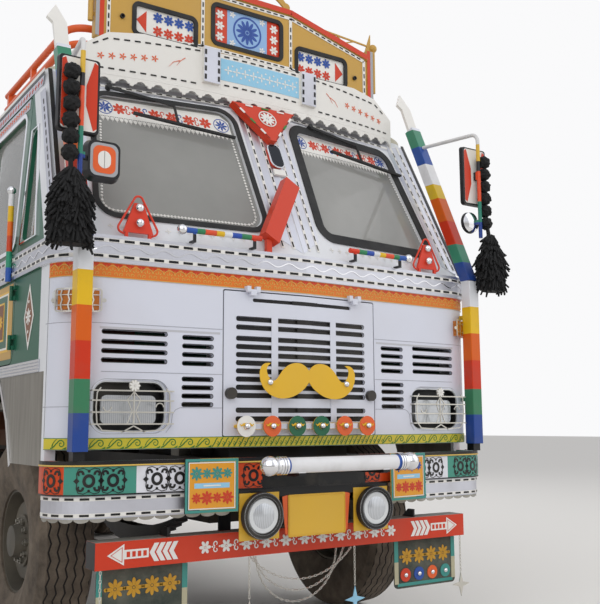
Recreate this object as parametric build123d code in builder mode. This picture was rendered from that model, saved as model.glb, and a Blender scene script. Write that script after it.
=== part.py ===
from build123d import *
from math import atan2, cos, degrees, hypot, radians, sin, sqrt, tan
import os

os.makedirs("parts", exist_ok=True)

# Two-axle goods truck with a high-sided body. Millimetres, ground at Z = 0,
# the cab's face looks along -Y, the truck's left side is at +X.

# Layout along the truck
nose_y = -3320
front_overhang = 1035
wheelbase = 4225
cab_length = 1900
body_gap = 110
body_length = 4860
front_axle_y = nose_y + front_overhang
rear_axle_y = front_axle_y + wheelbase
cab_back_y = nose_y + cab_length
body_front_y = cab_back_y + body_gap
body_back_y = body_front_y + body_length

# Fits
seat_gap = 0.3
pin_gap = 0.1
swing_gap = 6

# Wheels
tyre_radius = 527
tyre_width = 278
tread_width = 212
bead_radius = 254
rim_width = 200
hub_radius = 128
hub_bore_radius = 42
front_track = 1930
twin_spacing = 312
rear_track = 1800
wheel_z = tyre_radius

# Chassis
rail_outer = 430
rail_height = 230
rail_flange = 76
rail_wall = 9
frame_top = 950
frame_bottom = frame_top - rail_height
frame_front_y = nose_y + 25
frame_back_y = body_back_y - 60

# Cab
cab_wall = 45
panel_wall = 22
cab_half = 1210
roof_edge_half = 1150
face_sweep = 0.055
face_corner_radius = 200
screen_sweep = 0.104
screen_rake = 0.4877
screen_corner_radius = 90
face_y = nose_y - 15
skirt_bottom = 930
panel_bottom = 1000
panel_top = 1800
belt_z = 1930
header_z = 2860
roof_rise = 190
panel_return_y = nose_y + 190
screen_foot_y = nose_y - 8
screen_head_y = screen_foot_y + screen_rake * (header_z - belt_z)
cab_floor_z = 1190
cab_floor_wall = 40

# Hatch in the middle of the cab's face
hatch_half = 440
hatch_bottom = 1052
hatch_top = 1727
hatch_gap = 6

# Doors
door_front_y = nose_y + 720
door_length = 780
door_bottom = 1400
door_top = 2760
door_corner_radius = 60
arch_half = 560
arch_top = 1330

# Hinge barrels: the fixed part carries the pin, the swinging part the ring around it
door_hinge_x = cab_half + 18
door_hinge_y = door_front_y - 3
door_hinge_rows = (1500, 1740)
hinge_radius = 9
hinge_pin_radius = 5
hinge_half = 15
hinge_length = 36
hatch_hinge_y = nose_y - 20
hatch_hinge_z = 1730
hatch_hinge_columns = (-300, 300)

# Bumper
bumper_half = 1226
bumper_face_y = nose_y - 120
bumper_sweep = 0.08
bumper_bottom = 815
bumper_top = 955
bumper_depth = 60
bumper_back_y = nose_y + 180
bumper_corner_radius = 185
skirt_sheet = 4
bumper_skirt_bottom = 722
plates_half = 436

# Load body
bed_half = 1220
bed_z = 1250
bed_thickness = 60
bearer_height = 110
wall_thickness = 50
wall_top = 3050
bearer_pitch = 540
bed_middle_y = body_front_y + body_length / 2

# Tailgate and its hinges
gate_gap = 6
gate_top = 2250
gate_bottom = bed_z + 20
gate_rib = 24
gate_half = bed_half - gate_gap
gate_out_y = body_back_y + gate_gap + wall_thickness + gate_rib
gate_pin_radius = 14
gate_eye_radius = 22
gate_pin_y = gate_out_y + gate_eye_radius + 7
gate_pin_z = bed_z + 12
gate_hinges = (-840, 0, 840)
gate_bracket = 12
gate_bracket_pitch = 90


def side_of(sign):
    """The name of the truck's side at +X or -X."""
    return "left" if sign > 0 else "right"


def save(builder, name):
    """Labels a finished sub-part and writes it as its own STEP file."""
    builder.part.label = name
    export_step(builder.part, f"parts/{name}.step")


def plan_outline(middle_y, sweep, half, back_y, radius, inset=0):
    """Draws a plan of the cab or bumper: swept face, two rounded front corners, square back."""
    front = middle_y + inset * sqrt(1 + sweep**2)
    width = half - inset
    corner_y = front + sweep * width
    with BuildLine() as outline:
        Polyline(
            (-width, back_y - inset),
            (-width, corner_y),
            (0, front),
            (width, corner_y),
            (width, back_y - inset),
            close=True,
        )
    face = make_face(outline.edges())
    corners = [v for v in face.vertices() if abs(v.Y - corner_y) < 1 and abs(v.X) > width - 1]
    fillet(corners, radius - inset)


def face_plan(inset=0):
    plan_outline(face_y, face_sweep, cab_half, cab_back_y, face_corner_radius, inset)


def screen_foot_plan(inset=0):
    plan_outline(
        screen_foot_y, screen_sweep, cab_half - 6, cab_back_y, screen_corner_radius, inset
    )


def screen_head_plan(inset=0):
    plan_outline(
        screen_head_y, screen_sweep, roof_edge_half, cab_back_y, screen_corner_radius, inset
    )


def screen_y(x, z):
    """Y of the windscreens' outer face, which leans back and sweeps back from the middle."""
    return screen_foot_y + screen_sweep * abs(x) + screen_rake * (z - belt_z)


def face_front_y(x):
    """Y of the white panel's outer face, where it is still flat."""
    return face_y + face_sweep * abs(x)


# Tyres: one closed ring each, with rounded shoulders
def tyre_profile(centre_x):
    half = tyre_width / 2
    with BuildLine() as outline:
        Polyline(
            (centre_x - half + 28, bead_radius),
            (centre_x + half - 28, bead_radius),
            (centre_x + half - 6, bead_radius + 70),
            (centre_x + half, bead_radius + 140),
            (centre_x + half - 8, tyre_radius - 50),
            (centre_x + tread_width / 2, tyre_radius - 8),
            (centre_x, tyre_radius),
            (centre_x - tread_width / 2, tyre_radius - 8),
            (centre_x - half + 8, tyre_radius - 50),
            (centre_x - half, bead_radius + 140),
            (centre_x - half + 6, bead_radius + 70),
            close=True,
        )
    make_face(outline.edges())


def axle_plane(axle_y):
    """A plane whose X runs along an axle and whose Y runs up from its centre line."""
    return Plane(origin=(0, axle_y, wheel_z), x_dir=(1, 0, 0), z_dir=(0, -1, 0))


for sign in (1, -1):
    with BuildPart() as front_tyre:
        with BuildSketch(axle_plane(front_axle_y)):
            tyre_profile(sign * front_track / 2)
        revolve(axis=Axis((0, front_axle_y, wheel_z), (1, 0, 0)))
    save(front_tyre, f"front_tyre_{side_of(sign)}")

    with BuildPart() as rear_tyres:
        for place in (-twin_spacing / 2, twin_spacing / 2):
            with BuildSketch(axle_plane(rear_axle_y)):
                tyre_profile(sign * (rear_track / 2 + place))
            revolve(axis=Axis((0, rear_axle_y, wheel_z), (1, 0, 0)))
    save(rear_tyres, f"rear_tyres_{side_of(sign)}")

# Wheels: a dished steel disc with hand holes, a barrel with lips and a hub
rim_sheet = 12
disc_sheet = 14
disc_shoulder = 190
hand_holes = 6
hand_hole_radius = 24
hand_hole_circle = 208
hub_cap_radius = 88


def rim_ring(centre_x, sign, dish):
    """Barrel and disc of one steel wheel; dish is how far the hub face lies outboard of its middle."""
    half = rim_width / 2
    barrel = bead_radius - rim_sheet
    face_x = centre_x + sign * dish
    edge_x = centre_x + sign * min(dish, 0) * 0.4
    run = edge_x - face_x
    rise = barrel + 1 - disc_shoulder
    back_face_x = face_x - sign * disc_sheet
    back_edge_x = edge_x - sign * disc_sheet * hypot(run, rise) / rise
    back_shoulder = barrel + 1 - rise / run * (back_edge_x - back_face_x)
    with BuildLine() as outline:
        Polyline(
            (centre_x - half, barrel),
            (centre_x + half, barrel),
            (centre_x + half, bead_radius - seat_gap),
            (centre_x - half, bead_radius - seat_gap),
            close=True,
        )
    make_face(outline.edges())
    with BuildLine() as outline:
        Polyline(
            (face_x, hub_radius - 8),
            (face_x, disc_shoulder),
            (edge_x, barrel + 1),
            (back_edge_x, barrel + 1),
            (back_face_x, back_shoulder),
            (back_face_x, hub_radius - 8),
            close=True,
        )
    make_face(outline.edges())


stub_length = 150
stub_radius = hub_bore_radius - pin_gap
front_wheel_x = front_track / 2
kingpin_x = 835
hub_inner_x = kingpin_x + 62

for sign in (1, -1):
    with BuildPart() as front_wheel:
        with BuildSketch(axle_plane(front_axle_y)):
            rim_ring(sign * front_wheel_x, sign, 60)
            with BuildLine():
                Polyline(
                    (sign * hub_inner_x, hub_bore_radius),
                    (sign * hub_inner_x, 150),
                    (sign * (hub_inner_x + 60), 150),
                    (sign * (hub_inner_x + 60), hub_radius),
                    (sign * (front_wheel_x + 74), hub_radius),
                    (sign * (front_wheel_x + 74), hub_cap_radius),
                    (sign * (front_wheel_x + 128), hub_cap_radius - 12),
                    (sign * (front_wheel_x + 134), 0),
                    (sign * (hub_inner_x + stub_length + 12), 0),
                    (sign * (hub_inner_x + stub_length + 12), hub_bore_radius),
                    close=True,
                )
            make_face()
        revolve(axis=Axis((0, front_axle_y, wheel_z), (1, 0, 0)))
        with BuildSketch(
            Plane(origin=(sign * front_wheel_x, front_axle_y, wheel_z), z_dir=(sign, 0, 0))
        ):
            with PolarLocations(hand_hole_circle, hand_holes):
                Circle(hand_hole_radius)
        extrude(amount=100, mode=Mode.SUBTRACT)
    save(front_wheel, f"front_wheel_{side_of(sign)}")

    # Rear twins: two discs back to back on one hub
    with BuildPart() as rear_wheel:
        with BuildSketch(axle_plane(rear_axle_y)):
            outer_x = rear_track / 2 + twin_spacing / 2
            inner_x = rear_track / 2 - twin_spacing / 2
            rim_ring(sign * outer_x, sign, -twin_spacing / 2 + disc_sheet)
            rim_ring(sign * inner_x, -sign, -twin_spacing / 2 + disc_sheet)
            with BuildLine():
                Polyline(
                    (sign * (rear_track / 2 - 110), hub_bore_radius),
                    (sign * (rear_track / 2 - 110), 165),
                    (sign * (rear_track / 2 - 30), 165),
                    (sign * (rear_track / 2 - 30), hub_radius),
                    (sign * (rear_track / 2 + 90), hub_radius),
                    (sign * (rear_track / 2 + 190), hub_radius - 30),
                    (sign * (rear_track / 2 + 190), 0),
                    (sign * (rear_track / 2 + 80), 0),
                    (sign * (rear_track / 2 + 80), hub_bore_radius),
                    close=True,
                )
            make_face()
        revolve(axis=Axis((0, rear_axle_y, wheel_z), (1, 0, 0)))
    save(rear_wheel, f"rear_wheels_{side_of(sign)}")

# Knuckles: kingpin through the beam's eye, a lug above and below, stub axle and steering arm
beam_eye_height = 90
kingpin_radius = 22
kingpin_z = wheel_z
lug_height = 34
lug_gap = 5
arm_reach = 190
arm_z = kingpin_z - beam_eye_height / 2 - lug_gap - lug_height / 2
arm_pin_radius = 14
arm_half = 13
track_rod_z = arm_z - arm_half - lug_gap - 16

for sign in (1, -1):
    with BuildPart() as knuckle:
        with BuildSketch(Plane.XY.offset(kingpin_z - beam_eye_height / 2 - lug_gap - lug_height)):
            with Locations((sign * kingpin_x, front_axle_y)):
                Circle(kingpin_radius)
        extrude(amount=beam_eye_height + 2 * lug_gap + 2 * lug_height)
        for low in (
            kingpin_z - beam_eye_height / 2 - lug_gap - lug_height,
            kingpin_z + beam_eye_height / 2 + lug_gap,
        ):
            with BuildSketch(Plane.XY.offset(low)):
                with Locations((sign * kingpin_x, front_axle_y)):
                    Circle(40)
                with Locations((sign * (kingpin_x + 25), front_axle_y)):
                    Rectangle(50, 80)
            extrude(amount=lug_height)
        with Locations((sign * (kingpin_x + 52), front_axle_y, kingpin_z)):
            Box(14, 80, beam_eye_height + 2 * lug_gap + 2 * lug_height)
        with BuildSketch(
            Plane(origin=(sign * (kingpin_x + 50), front_axle_y, wheel_z), z_dir=(sign, 0, 0))
        ):
            Circle(stub_radius)
        extrude(amount=stub_length)
        with BuildSketch(Plane.XY.offset(arm_z - arm_half)):
            with BuildLine():
                Polyline(
                    (sign * (kingpin_x - 30), front_axle_y),
                    (sign * (kingpin_x + 30), front_axle_y),
                    (sign * (kingpin_x + 20), front_axle_y + arm_reach),
                    (sign * (kingpin_x - 20), front_axle_y + arm_reach),
                    close=True,
                )
            make_face()
            with Locations((sign * (kingpin_x), front_axle_y + arm_reach)):
                Circle(26)
        extrude(amount=2 * arm_half)
        with BuildSketch(Plane.XY.offset(track_rod_z - 16)):
            with Locations((sign * (kingpin_x), front_axle_y + arm_reach)):
                Circle(arm_pin_radius)
        extrude(amount=arm_z - track_rod_z + 16)
    save(knuckle, f"knuckle_{side_of(sign)}")

# Track rod between the steering arms, an eye at each end
with BuildPart() as track_rod:
    with BuildSketch(Plane(origin=(-kingpin_x + 20, front_axle_y + arm_reach, track_rod_z), z_dir=(1, 0, 0))):
        Circle(15)
    extrude(amount=2 * (kingpin_x - 20))
    with BuildSketch(Plane.XY.offset(track_rod_z - 16)):
        with Locations((-kingpin_x, front_axle_y + arm_reach), (kingpin_x, front_axle_y + arm_reach)):
            Circle(26)
    extrude(amount=32)
    with BuildSketch(Plane.XY.offset(track_rod_z - 16)):
        with Locations((-kingpin_x, front_axle_y + arm_reach), (kingpin_x, front_axle_y + arm_reach)):
            Circle(arm_pin_radius + pin_gap)
    extrude(amount=32, mode=Mode.SUBTRACT)
save(track_rod, "track_rod")

# Front axle: a dropped beam with an eye at each end
beam_drop = 90
spring_x = 430
spring_width = 70
with BuildPart() as front_axle:
    with BuildSketch(Plane(origin=(0, front_axle_y + 40, 0), x_dir=(1, 0, 0), z_dir=(0, -1, 0))):
        with BuildLine():
            Polyline(
                (-kingpin_x + 20, kingpin_z + 35),
                (-spring_x - 150, wheel_z - beam_drop + 45),
                (spring_x + 150, wheel_z - beam_drop + 45),
                (kingpin_x - 20, kingpin_z + 35),
                (kingpin_x - 20, kingpin_z - 35),
                (spring_x + 130, wheel_z - beam_drop - 45),
                (-spring_x - 130, wheel_z - beam_drop - 45),
                (-kingpin_x + 20, kingpin_z - 35),
                close=True,
            )
        make_face()
    extrude(amount=80)
    with BuildSketch(Plane.XY.offset(kingpin_z - beam_eye_height / 2)):
        with Locations((-kingpin_x, front_axle_y), (kingpin_x, front_axle_y)):
            Circle(44)
    extrude(amount=beam_eye_height)
    with BuildSketch(Plane.XY.offset(kingpin_z - beam_eye_height / 2)):
        with Locations((-kingpin_x, front_axle_y), (kingpin_x, front_axle_y)):
            Circle(kingpin_radius + pin_gap)
    extrude(amount=beam_eye_height, mode=Mode.SUBTRACT)
save(front_axle, "front_axle_beam")

# Leaf springs: a stepped, arched pack over or on each axle, with hangers to the rails
leaf = 11
leaf_count = 8
front_span = 1300
rear_span = 1400
rear_spring_x = 500
front_seat_z = wheel_z - beam_drop + 45
rear_seat_z = wheel_z + 75


def leaf_pack(x, axle_y, seat_z, span, rise):
    """One spring: leaves as arcs of one family, longest on top, shorter below."""
    for index in range(leaf_count):
        half = span / 2 * (1 - index * 0.1)
        sag = rise * (half / (span / 2)) ** 2
        low = seat_z + seat_gap + (leaf_count - 1 - index) * leaf
        leaf_plane = Plane(origin=(x - spring_width / 2, 0, 0), x_dir=(0, 1, 0), z_dir=(1, 0, 0))
        with BuildSketch(leaf_plane) as leaf_side:
            with BuildLine():
                ThreePointArc(
                    (axle_y - half, low + sag), (axle_y, low), (axle_y + half, low + sag)
                )
                Line((axle_y + half, low + sag), (axle_y + half, low + sag + leaf))
                ThreePointArc(
                    (axle_y + half, low + sag + leaf),
                    (axle_y, low + leaf),
                    (axle_y - half, low + sag + leaf),
                )
                Line((axle_y - half, low + sag + leaf), (axle_y - half, low + sag))
            make_face()
        extrude(leaf_side.sketch, amount=spring_width)


with BuildPart() as leaf_springs:
    for sign in (1, -1):
        leaf_pack(sign * spring_x, front_axle_y, front_seat_z, front_span, 105)
        leaf_pack(sign * rear_spring_x, rear_axle_y, rear_seat_z, rear_span, 70)
save(leaf_springs, "leaf_springs")

# Chassis frame: two channels, cross members, spring hangers, bumper horns
cross_members = (75, 1750, 2700, 3600, 4500, 6000, 6700)
front_eye_z = front_seat_z + 105 + (leaf_count - 1) * leaf
rear_eye_z = rear_seat_z + 70 + (leaf_count - 1) * leaf
hanger_length = 60
member_height = 80
tow_lug_z = frame_top - 60
tow_lug_height = 60
tow_pin_radius = 20
with BuildPart() as chassis_frame:
    for sign in (1, -1):
        with BuildSketch(Plane(origin=(0, frame_front_y, 0), x_dir=(1, 0, 0), z_dir=(0, -1, 0))):
            with BuildLine():
                Polyline(
                    (sign * rail_outer, frame_bottom),
                    (sign * rail_outer, frame_top),
                    (sign * (rail_outer - rail_flange), frame_top),
                    (sign * (rail_outer - rail_flange), frame_top - rail_wall),
                    (sign * (rail_outer - rail_wall), frame_top - rail_wall),
                    (sign * (rail_outer - rail_wall), frame_bottom + rail_wall),
                    (sign * (rail_outer - rail_flange), frame_bottom + rail_wall),
                    (sign * (rail_outer - rail_flange), frame_bottom),
                    close=True,
                )
            make_face()
        extrude(amount=-(frame_back_y - frame_front_y))
        for half_span, axle_y, eye_z, hanger_x, hanger_top in (
            (front_span / 2, front_axle_y, front_eye_z, spring_x, frame_bottom + rail_wall),
            (rear_span / 2, rear_axle_y, rear_eye_z, rear_spring_x, rear_eye_z + 90),
        ):
            low = eye_z + leaf + 2 * seat_gap
            inner = min(hanger_x - spring_width / 2, rail_outer - 2)
            outer = hanger_x + spring_width / 2
            for end in (-1, 1):
                with Locations(
                    (sign * (inner + outer) / 2, axle_y + end * half_span, (low + hanger_top) / 2)
                ):
                    Box(outer - inner, hanger_length, hanger_top - low)
    for place in (*cross_members, frame_back_y - nose_y - 36):
        with Locations((0, nose_y + place, frame_top - rail_wall - 8 - member_height / 2)):
            Box(2 * (rail_outer - rail_wall), 70, member_height)
    # Towing lug on the last cross member, bored for an upright pin
    with BuildSketch(Plane.XY.offset(tow_lug_z - tow_lug_height / 2)):
        with Locations((0, frame_back_y + 10)):
            Rectangle(110, 120)
        with Locations((0, frame_back_y + 70)):
            Circle(55)
        with Locations((0, frame_back_y + 70)):
            Circle(tow_pin_radius, mode=Mode.SUBTRACT)
    extrude(amount=tow_lug_height)
save(chassis_frame, "chassis_frame")

# Drive axle: tapered housing with a round centre, and the drive shaft ahead of it
shaft_radius = 50
engine_back_y = nose_y + 1500
gearbox_z = 770
with BuildPart() as drive_axle:
    with BuildSketch(axle_plane(rear_axle_y)):
        with BuildLine():
            Polyline(
                (-rear_track / 2 - 75, 0),
                (-rear_track / 2 - 75, hub_bore_radius - pin_gap),
                (-rear_track / 2 + 115, hub_bore_radius - pin_gap),
                (-rear_track / 2 + 115, 70),
                (-260, 75),
                (-150, 190),
                (150, 190),
                (260, 75),
                (rear_track / 2 - 115, 70),
                (rear_track / 2 - 115, hub_bore_radius - pin_gap),
                (rear_track / 2 + 75, hub_bore_radius - pin_gap),
                (rear_track / 2 + 75, 0),
                close=True,
            )
        make_face()
    revolve(axis=Axis((0, rear_axle_y, wheel_z), (1, 0, 0)))
    shaft_run = hypot(rear_axle_y - 180 - engine_back_y, gearbox_z - wheel_z)
    shaft_start = Vector(0, engine_back_y + 4, gearbox_z)
    shaft_end = Vector(0, rear_axle_y - 150, wheel_z)
    with BuildSketch(Plane(origin=shaft_start, z_dir=shaft_end - shaft_start)):
        Circle(shaft_radius)
    extrude(amount=(shaft_end - shaft_start).length)
    for sign in (1, -1):
        with Locations((sign * rear_spring_x, rear_axle_y, wheel_z + 45)):
            Box(90, 120, 60)
save(drive_axle, "drive_axle")

# Engine with gearbox and radiator: one plain block each, joined
with BuildPart() as engine:
    with Locations((0, nose_y + 850, 990)):
        Box(600, 900, 740)
    with Locations((0, nose_y + 1399, 800)):
        Box(420, 202, 380)
    with Locations((0, nose_y + 310, 1150)):
        Box(560, 200, 500)
    with Locations((0, nose_y + 170, 1190)):
        Box(690, 90, 660)
save(engine, "engine")

# Fuel tank and battery box on the rails, silencer and tail pipe
with BuildPart() as side_boxes:
    with BuildSketch(Plane(origin=(0, nose_y + 2500, 0), x_dir=(1, 0, 0), z_dir=(0, -1, 0))):
        with Locations((-(rail_outer + 260), 720)):
            RectangleRounded(480, 420, 80)
    extrude(amount=-900)
    with Locations((-(rail_outer + 10), nose_y + 2950, 800)):
        Box(20 - 2 * seat_gap, 500, 120)
    with Locations((rail_outer + 230, nose_y + 2800, 740)):
        Box(460 - 2 * seat_gap, 560, 320)
save(side_boxes, "side_boxes")

with BuildPart() as exhaust:
    with BuildSketch(Plane(origin=(0, nose_y + 3350, 0), x_dir=(1, 0, 0), z_dir=(0, -1, 0))):
        with Locations((rail_outer + 140, 720)):
            Circle(110)
    extrude(amount=-620)
    with BuildSketch(Plane(origin=(0, nose_y + 3970, 0), x_dir=(1, 0, 0), z_dir=(0, -1, 0))):
        with Locations((rail_outer + 140, 720)):
            Circle(38)
    extrude(amount=-260)
    with Locations((rail_outer + 30, nose_y + 3660, 800)):
        Box(60 - 2 * seat_gap, 80, 60)
save(exhaust, "exhaust")

# Cab shell: skirts, floor, belt ridge, windscreen frame, sides and back wall
belt_ridge = 10
belt_ridge_bottom = 1806
screen_outline = ((145, 2038), (1032, 2038), (948, 2768), (168, 2790))
screen_radius = 105
gasket = 26
quarter_points = ((440, 1990), (668, 1990), (642, 2540), (560, 2540))
quarter_radius = 38
cab_mounts = (540, 1790)
rear_window_half = 520
rear_window_bottom = 2150
rear_window_top = 2600
tunnel_half = 380
tunnel_top = 1480
tunnel_back_y = nose_y + 1420


def screen_cut(side, grow):
    """Draws one windscreen's outline, seen from the front, grown by a margin."""
    points = [(side * x, z) for x, z in screen_outline]
    with BuildLine() as outline:
        Polyline(*points, close=True)
    face = make_face(outline.edges())
    fillet(face.vertices(), screen_radius)
    if grow:
        offset(amount=grow)


front_view = Plane(origin=(0, nose_y - 300, 0), x_dir=(1, 0, 0), z_dir=(0, -1, 0))
side_view = Plane(origin=(0, 0, 0), x_dir=(0, 1, 0), z_dir=(1, 0, 0))


def side_plane(side):
    """A plane parallel to the cab's side, just inside its wall, drawn with Y and Z."""
    return Plane(origin=(side * (roof_edge_half - 60), 0, 0), x_dir=(0, 1, 0), z_dir=(1, 0, 0))


def quarter_outline(shrink):
    """Draws a quarter light, shrunk by a margin."""
    with BuildLine() as outline:
        Polyline(*[(nose_y + y, z) for y, z in quarter_points], close=True)
    face = make_face(outline.edges())
    fillet(face.vertices(), quarter_radius)
    if shrink:
        offset(amount=-shrink)


def arch_outline():
    """Draws the wheel arch's slanted opening, seen from the side."""
    with BuildLine() as outline:
        Polyline(
            (front_axle_y - arch_half + 230, skirt_bottom - 60),
            (front_axle_y - arch_half + 230, skirt_bottom + 10),
            (front_axle_y - arch_half + 315, skirt_bottom + 230),
            (front_axle_y - arch_half + 460, arch_top),
            (front_axle_y + arch_half - 100, arch_top),
            (front_axle_y + arch_half, skirt_bottom + 180),
            (front_axle_y + arch_half, skirt_bottom - 60),
            close=True,
        )
    make_face(outline.edges())


def door_outline(grow):
    """Draws a door's outline, seen from the side, grown by a margin."""
    with Locations((door_front_y + door_length / 2, (door_bottom + door_top) / 2)):
        RectangleRounded(
            door_length + 2 * grow, door_top - door_bottom + 2 * grow, door_corner_radius + grow
        )


with BuildPart() as cab_skin:
    with BuildSketch(Plane.XY.offset(skirt_bottom)):
        face_plan()
    extrude(amount=belt_z - skirt_bottom)
    with BuildSketch(Plane.XY.offset(belt_z)):
        screen_foot_plan()
    with BuildSketch(Plane.XY.offset(header_z)):
        screen_head_plan()
    loft(ruled=True)
    with BuildSketch(Plane.XY.offset(belt_ridge_bottom)):
        face_plan(-belt_ridge)
    extrude(amount=belt_z - belt_ridge_bottom)
    with BuildSketch(Plane.XY.offset(skirt_bottom)):
        face_plan(cab_wall)
    extrude(amount=belt_z - skirt_bottom, mode=Mode.SUBTRACT)
    with BuildSketch(Plane.XY.offset(belt_z)):
        screen_foot_plan(cab_wall)
    with BuildSketch(Plane.XY.offset(header_z)):
        screen_head_plan(cab_wall)
    loft(ruled=True, mode=Mode.SUBTRACT)

with BuildPart() as cab_shell:
    add(cab_skin.part)
    # Belt shelf under the windscreens and the floor
    with BuildSketch(Plane.XY.offset(belt_z - 30)):
        face_plan(cab_wall)
        with Locations((0, nose_y + 160 + cab_length / 2)):
            Rectangle(3 * cab_half, cab_length, mode=Mode.SUBTRACT)
    extrude(amount=30)
    with BuildSketch(Plane.XY.offset(cab_floor_z)):
        face_plan(cab_wall)
        with Locations((0, nose_y + 240 - 300)):
            Rectangle(3 * cab_half, 600, mode=Mode.SUBTRACT)
    extrude(amount=cab_floor_wall)
    # Engine tunnel: a hollow hump in the floor
    with Locations((0, (nose_y + 240 + tunnel_back_y) / 2, (cab_floor_z + tunnel_top) / 2)):
        Box(2 * tunnel_half, tunnel_back_y - nose_y - 240, tunnel_top - cab_floor_z)
        Box(
            2 * (tunnel_half - cab_floor_wall),
            tunnel_back_y - nose_y - 240,
            tunnel_top - cab_floor_z + 2,
            mode=Mode.SUBTRACT,
        )
    with Locations((0, (nose_y + 240 + tunnel_back_y) / 2, tunnel_top + cab_floor_wall / 2)):
        Box(2 * tunnel_half, tunnel_back_y - nose_y - 240, cab_floor_wall)
    with Locations((0, tunnel_back_y - cab_floor_wall / 2, (cab_floor_z + tunnel_top) / 2)):
        Box(2 * tunnel_half, cab_floor_wall, tunnel_top - cab_floor_z)
    # Openings: front panel, windscreens, quarter lights, doors, rear window, wheel arches
    with Locations((0, (panel_return_y + nose_y - 400) / 2, (panel_top + skirt_bottom - 60) / 2)):
        Box(
            3 * cab_half,
            panel_return_y - nose_y + 400,
            panel_top - skirt_bottom + 60,
            mode=Mode.SUBTRACT,
        )
    with BuildSketch(front_view):
        screen_cut(1, -gasket)
        screen_cut(-1, -gasket)
    extrude(amount=-900, mode=Mode.SUBTRACT)
    for side in (1, -1):
        with BuildSketch(side_plane(side)):
            quarter_outline(0)
            door_outline(swing_gap)
            arch_outline()
        extrude(amount=side * 200, mode=Mode.SUBTRACT)
    with Locations((0, cab_back_y, (cab_floor_z + skirt_bottom - 60) / 2)):
        Box(
            2 * (cab_half - cab_wall),
            3 * cab_wall,
            cab_floor_z - skirt_bottom + 60,
            mode=Mode.SUBTRACT,
        )
    for side in (1, -1):
        for place in cab_mounts:
            with Locations((side * 395, nose_y + place, (frame_top + cab_floor_z) / 2 + seat_gap)):
                Box(66, 90, cab_floor_z - frame_top)
    with BuildSketch(Plane(origin=(0, cab_back_y + 10, 0), x_dir=(1, 0, 0), z_dir=(0, -1, 0))):
        with Locations((0, (rear_window_bottom + rear_window_top) / 2)):
            RectangleRounded(2 * rear_window_half, rear_window_top - rear_window_bottom, 60)
    extrude(amount=cab_wall + 60, mode=Mode.SUBTRACT)
    # Fixed halves of the door hinges, with their pins
    for side in (1, -1):
        for z in door_hinge_rows:
            for low in (z - hinge_length, z + hinge_half + seat_gap):
                with BuildSketch(Plane.XY.offset(low)):
                    with Locations((side * door_hinge_x, door_hinge_y)):
                        Circle(hinge_radius)
                    with Locations((side * (cab_half + 4), door_hinge_y - 20)):
                        Rectangle(16, 36)
                extrude(amount=hinge_length - hinge_half - seat_gap)
            with Locations((side * door_hinge_x, door_hinge_y, z)):
                Cylinder(hinge_pin_radius, 2 * hinge_length)
save(cab_shell, "cab_shell")

# Doors: the same skin, cut out with a running gap, with a window opening
door_window_front = 70
door_window_back = 700
door_window_bottom = 1985
door_window_top = 2670
grab_bar_x = cab_half + 26
grab_bar_y = door_front_y + 35
grab_bar_z = 2030
grab_bar_length = 460
grab_bar_radius = 13
glass_sheet = 6


def door_window(grow):
    with Locations(
        (
            door_front_y + (door_window_front + door_window_back) / 2,
            (door_window_bottom + door_window_top) / 2,
        )
    ):
        RectangleRounded(
            door_window_back - door_window_front + 2 * grow,
            door_window_top - door_window_bottom + 2 * grow,
            50 + grow,
        )


for sign in (1, -1):
    with BuildPart() as door:
        add(cab_skin.part)
        with BuildSketch(side_view):
            door_outline(0)
        extrude(amount=sign * 2 * cab_half, mode=Mode.INTERSECT)
        with BuildSketch(side_view):
            door_window(0)
        extrude(amount=sign * 2 * cab_half, mode=Mode.SUBTRACT)
        for z in door_hinge_rows:
            with BuildSketch(Plane.XY.offset(z - hinge_half)):
                with Locations((sign * door_hinge_x, door_hinge_y)):
                    Circle(hinge_radius)
                with Locations((sign * (cab_half + 4), door_hinge_y + 22)):
                    Rectangle(16, 34)
                with Locations((sign * (door_hinge_x - 6), door_hinge_y + 8)):
                    Rectangle(8, 12)
                with Locations((sign * door_hinge_x, door_hinge_y)):
                    Circle(hinge_pin_radius + pin_gap, mode=Mode.SUBTRACT)
            extrude(amount=2 * hinge_half)
        with Locations((sign * grab_bar_x, grab_bar_y, grab_bar_z)):
            Cylinder(grab_bar_radius, grab_bar_length)
        with Locations((sign * grab_bar_x, grab_bar_y, grab_bar_z + grab_bar_length / 2)):
            Sphere(grab_bar_radius + 8)
        for z in (grab_bar_z - grab_bar_length / 2 + 30, grab_bar_z + grab_bar_length / 2 - 330):
            with Locations((sign * (cab_half + grab_bar_x - 20) / 2, grab_bar_y, z)):
                Box(grab_bar_x - cab_half + 20, 16, 16)
    save(door, f"door_{side_of(sign)}")

    with BuildPart() as door_glass:
        with BuildSketch(Plane.XY.offset(belt_z)):
            screen_foot_plan(cab_wall / 2 - glass_sheet / 2)
        with BuildSketch(Plane.XY.offset(header_z)):
            screen_head_plan(cab_wall / 2 - glass_sheet / 2)
        loft(ruled=True)
        with BuildSketch(Plane.XY.offset(belt_z)):
            screen_foot_plan(cab_wall / 2 + glass_sheet / 2)
        with BuildSketch(Plane.XY.offset(header_z)):
            screen_head_plan(cab_wall / 2 + glass_sheet / 2)
        loft(ruled=True, mode=Mode.SUBTRACT)
        with BuildSketch(side_view):
            door_window(-seat_gap)
        extrude(amount=sign * 2 * cab_half, mode=Mode.INTERSECT)
    save(door_glass, f"door_glass_{side_of(sign)}")

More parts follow.
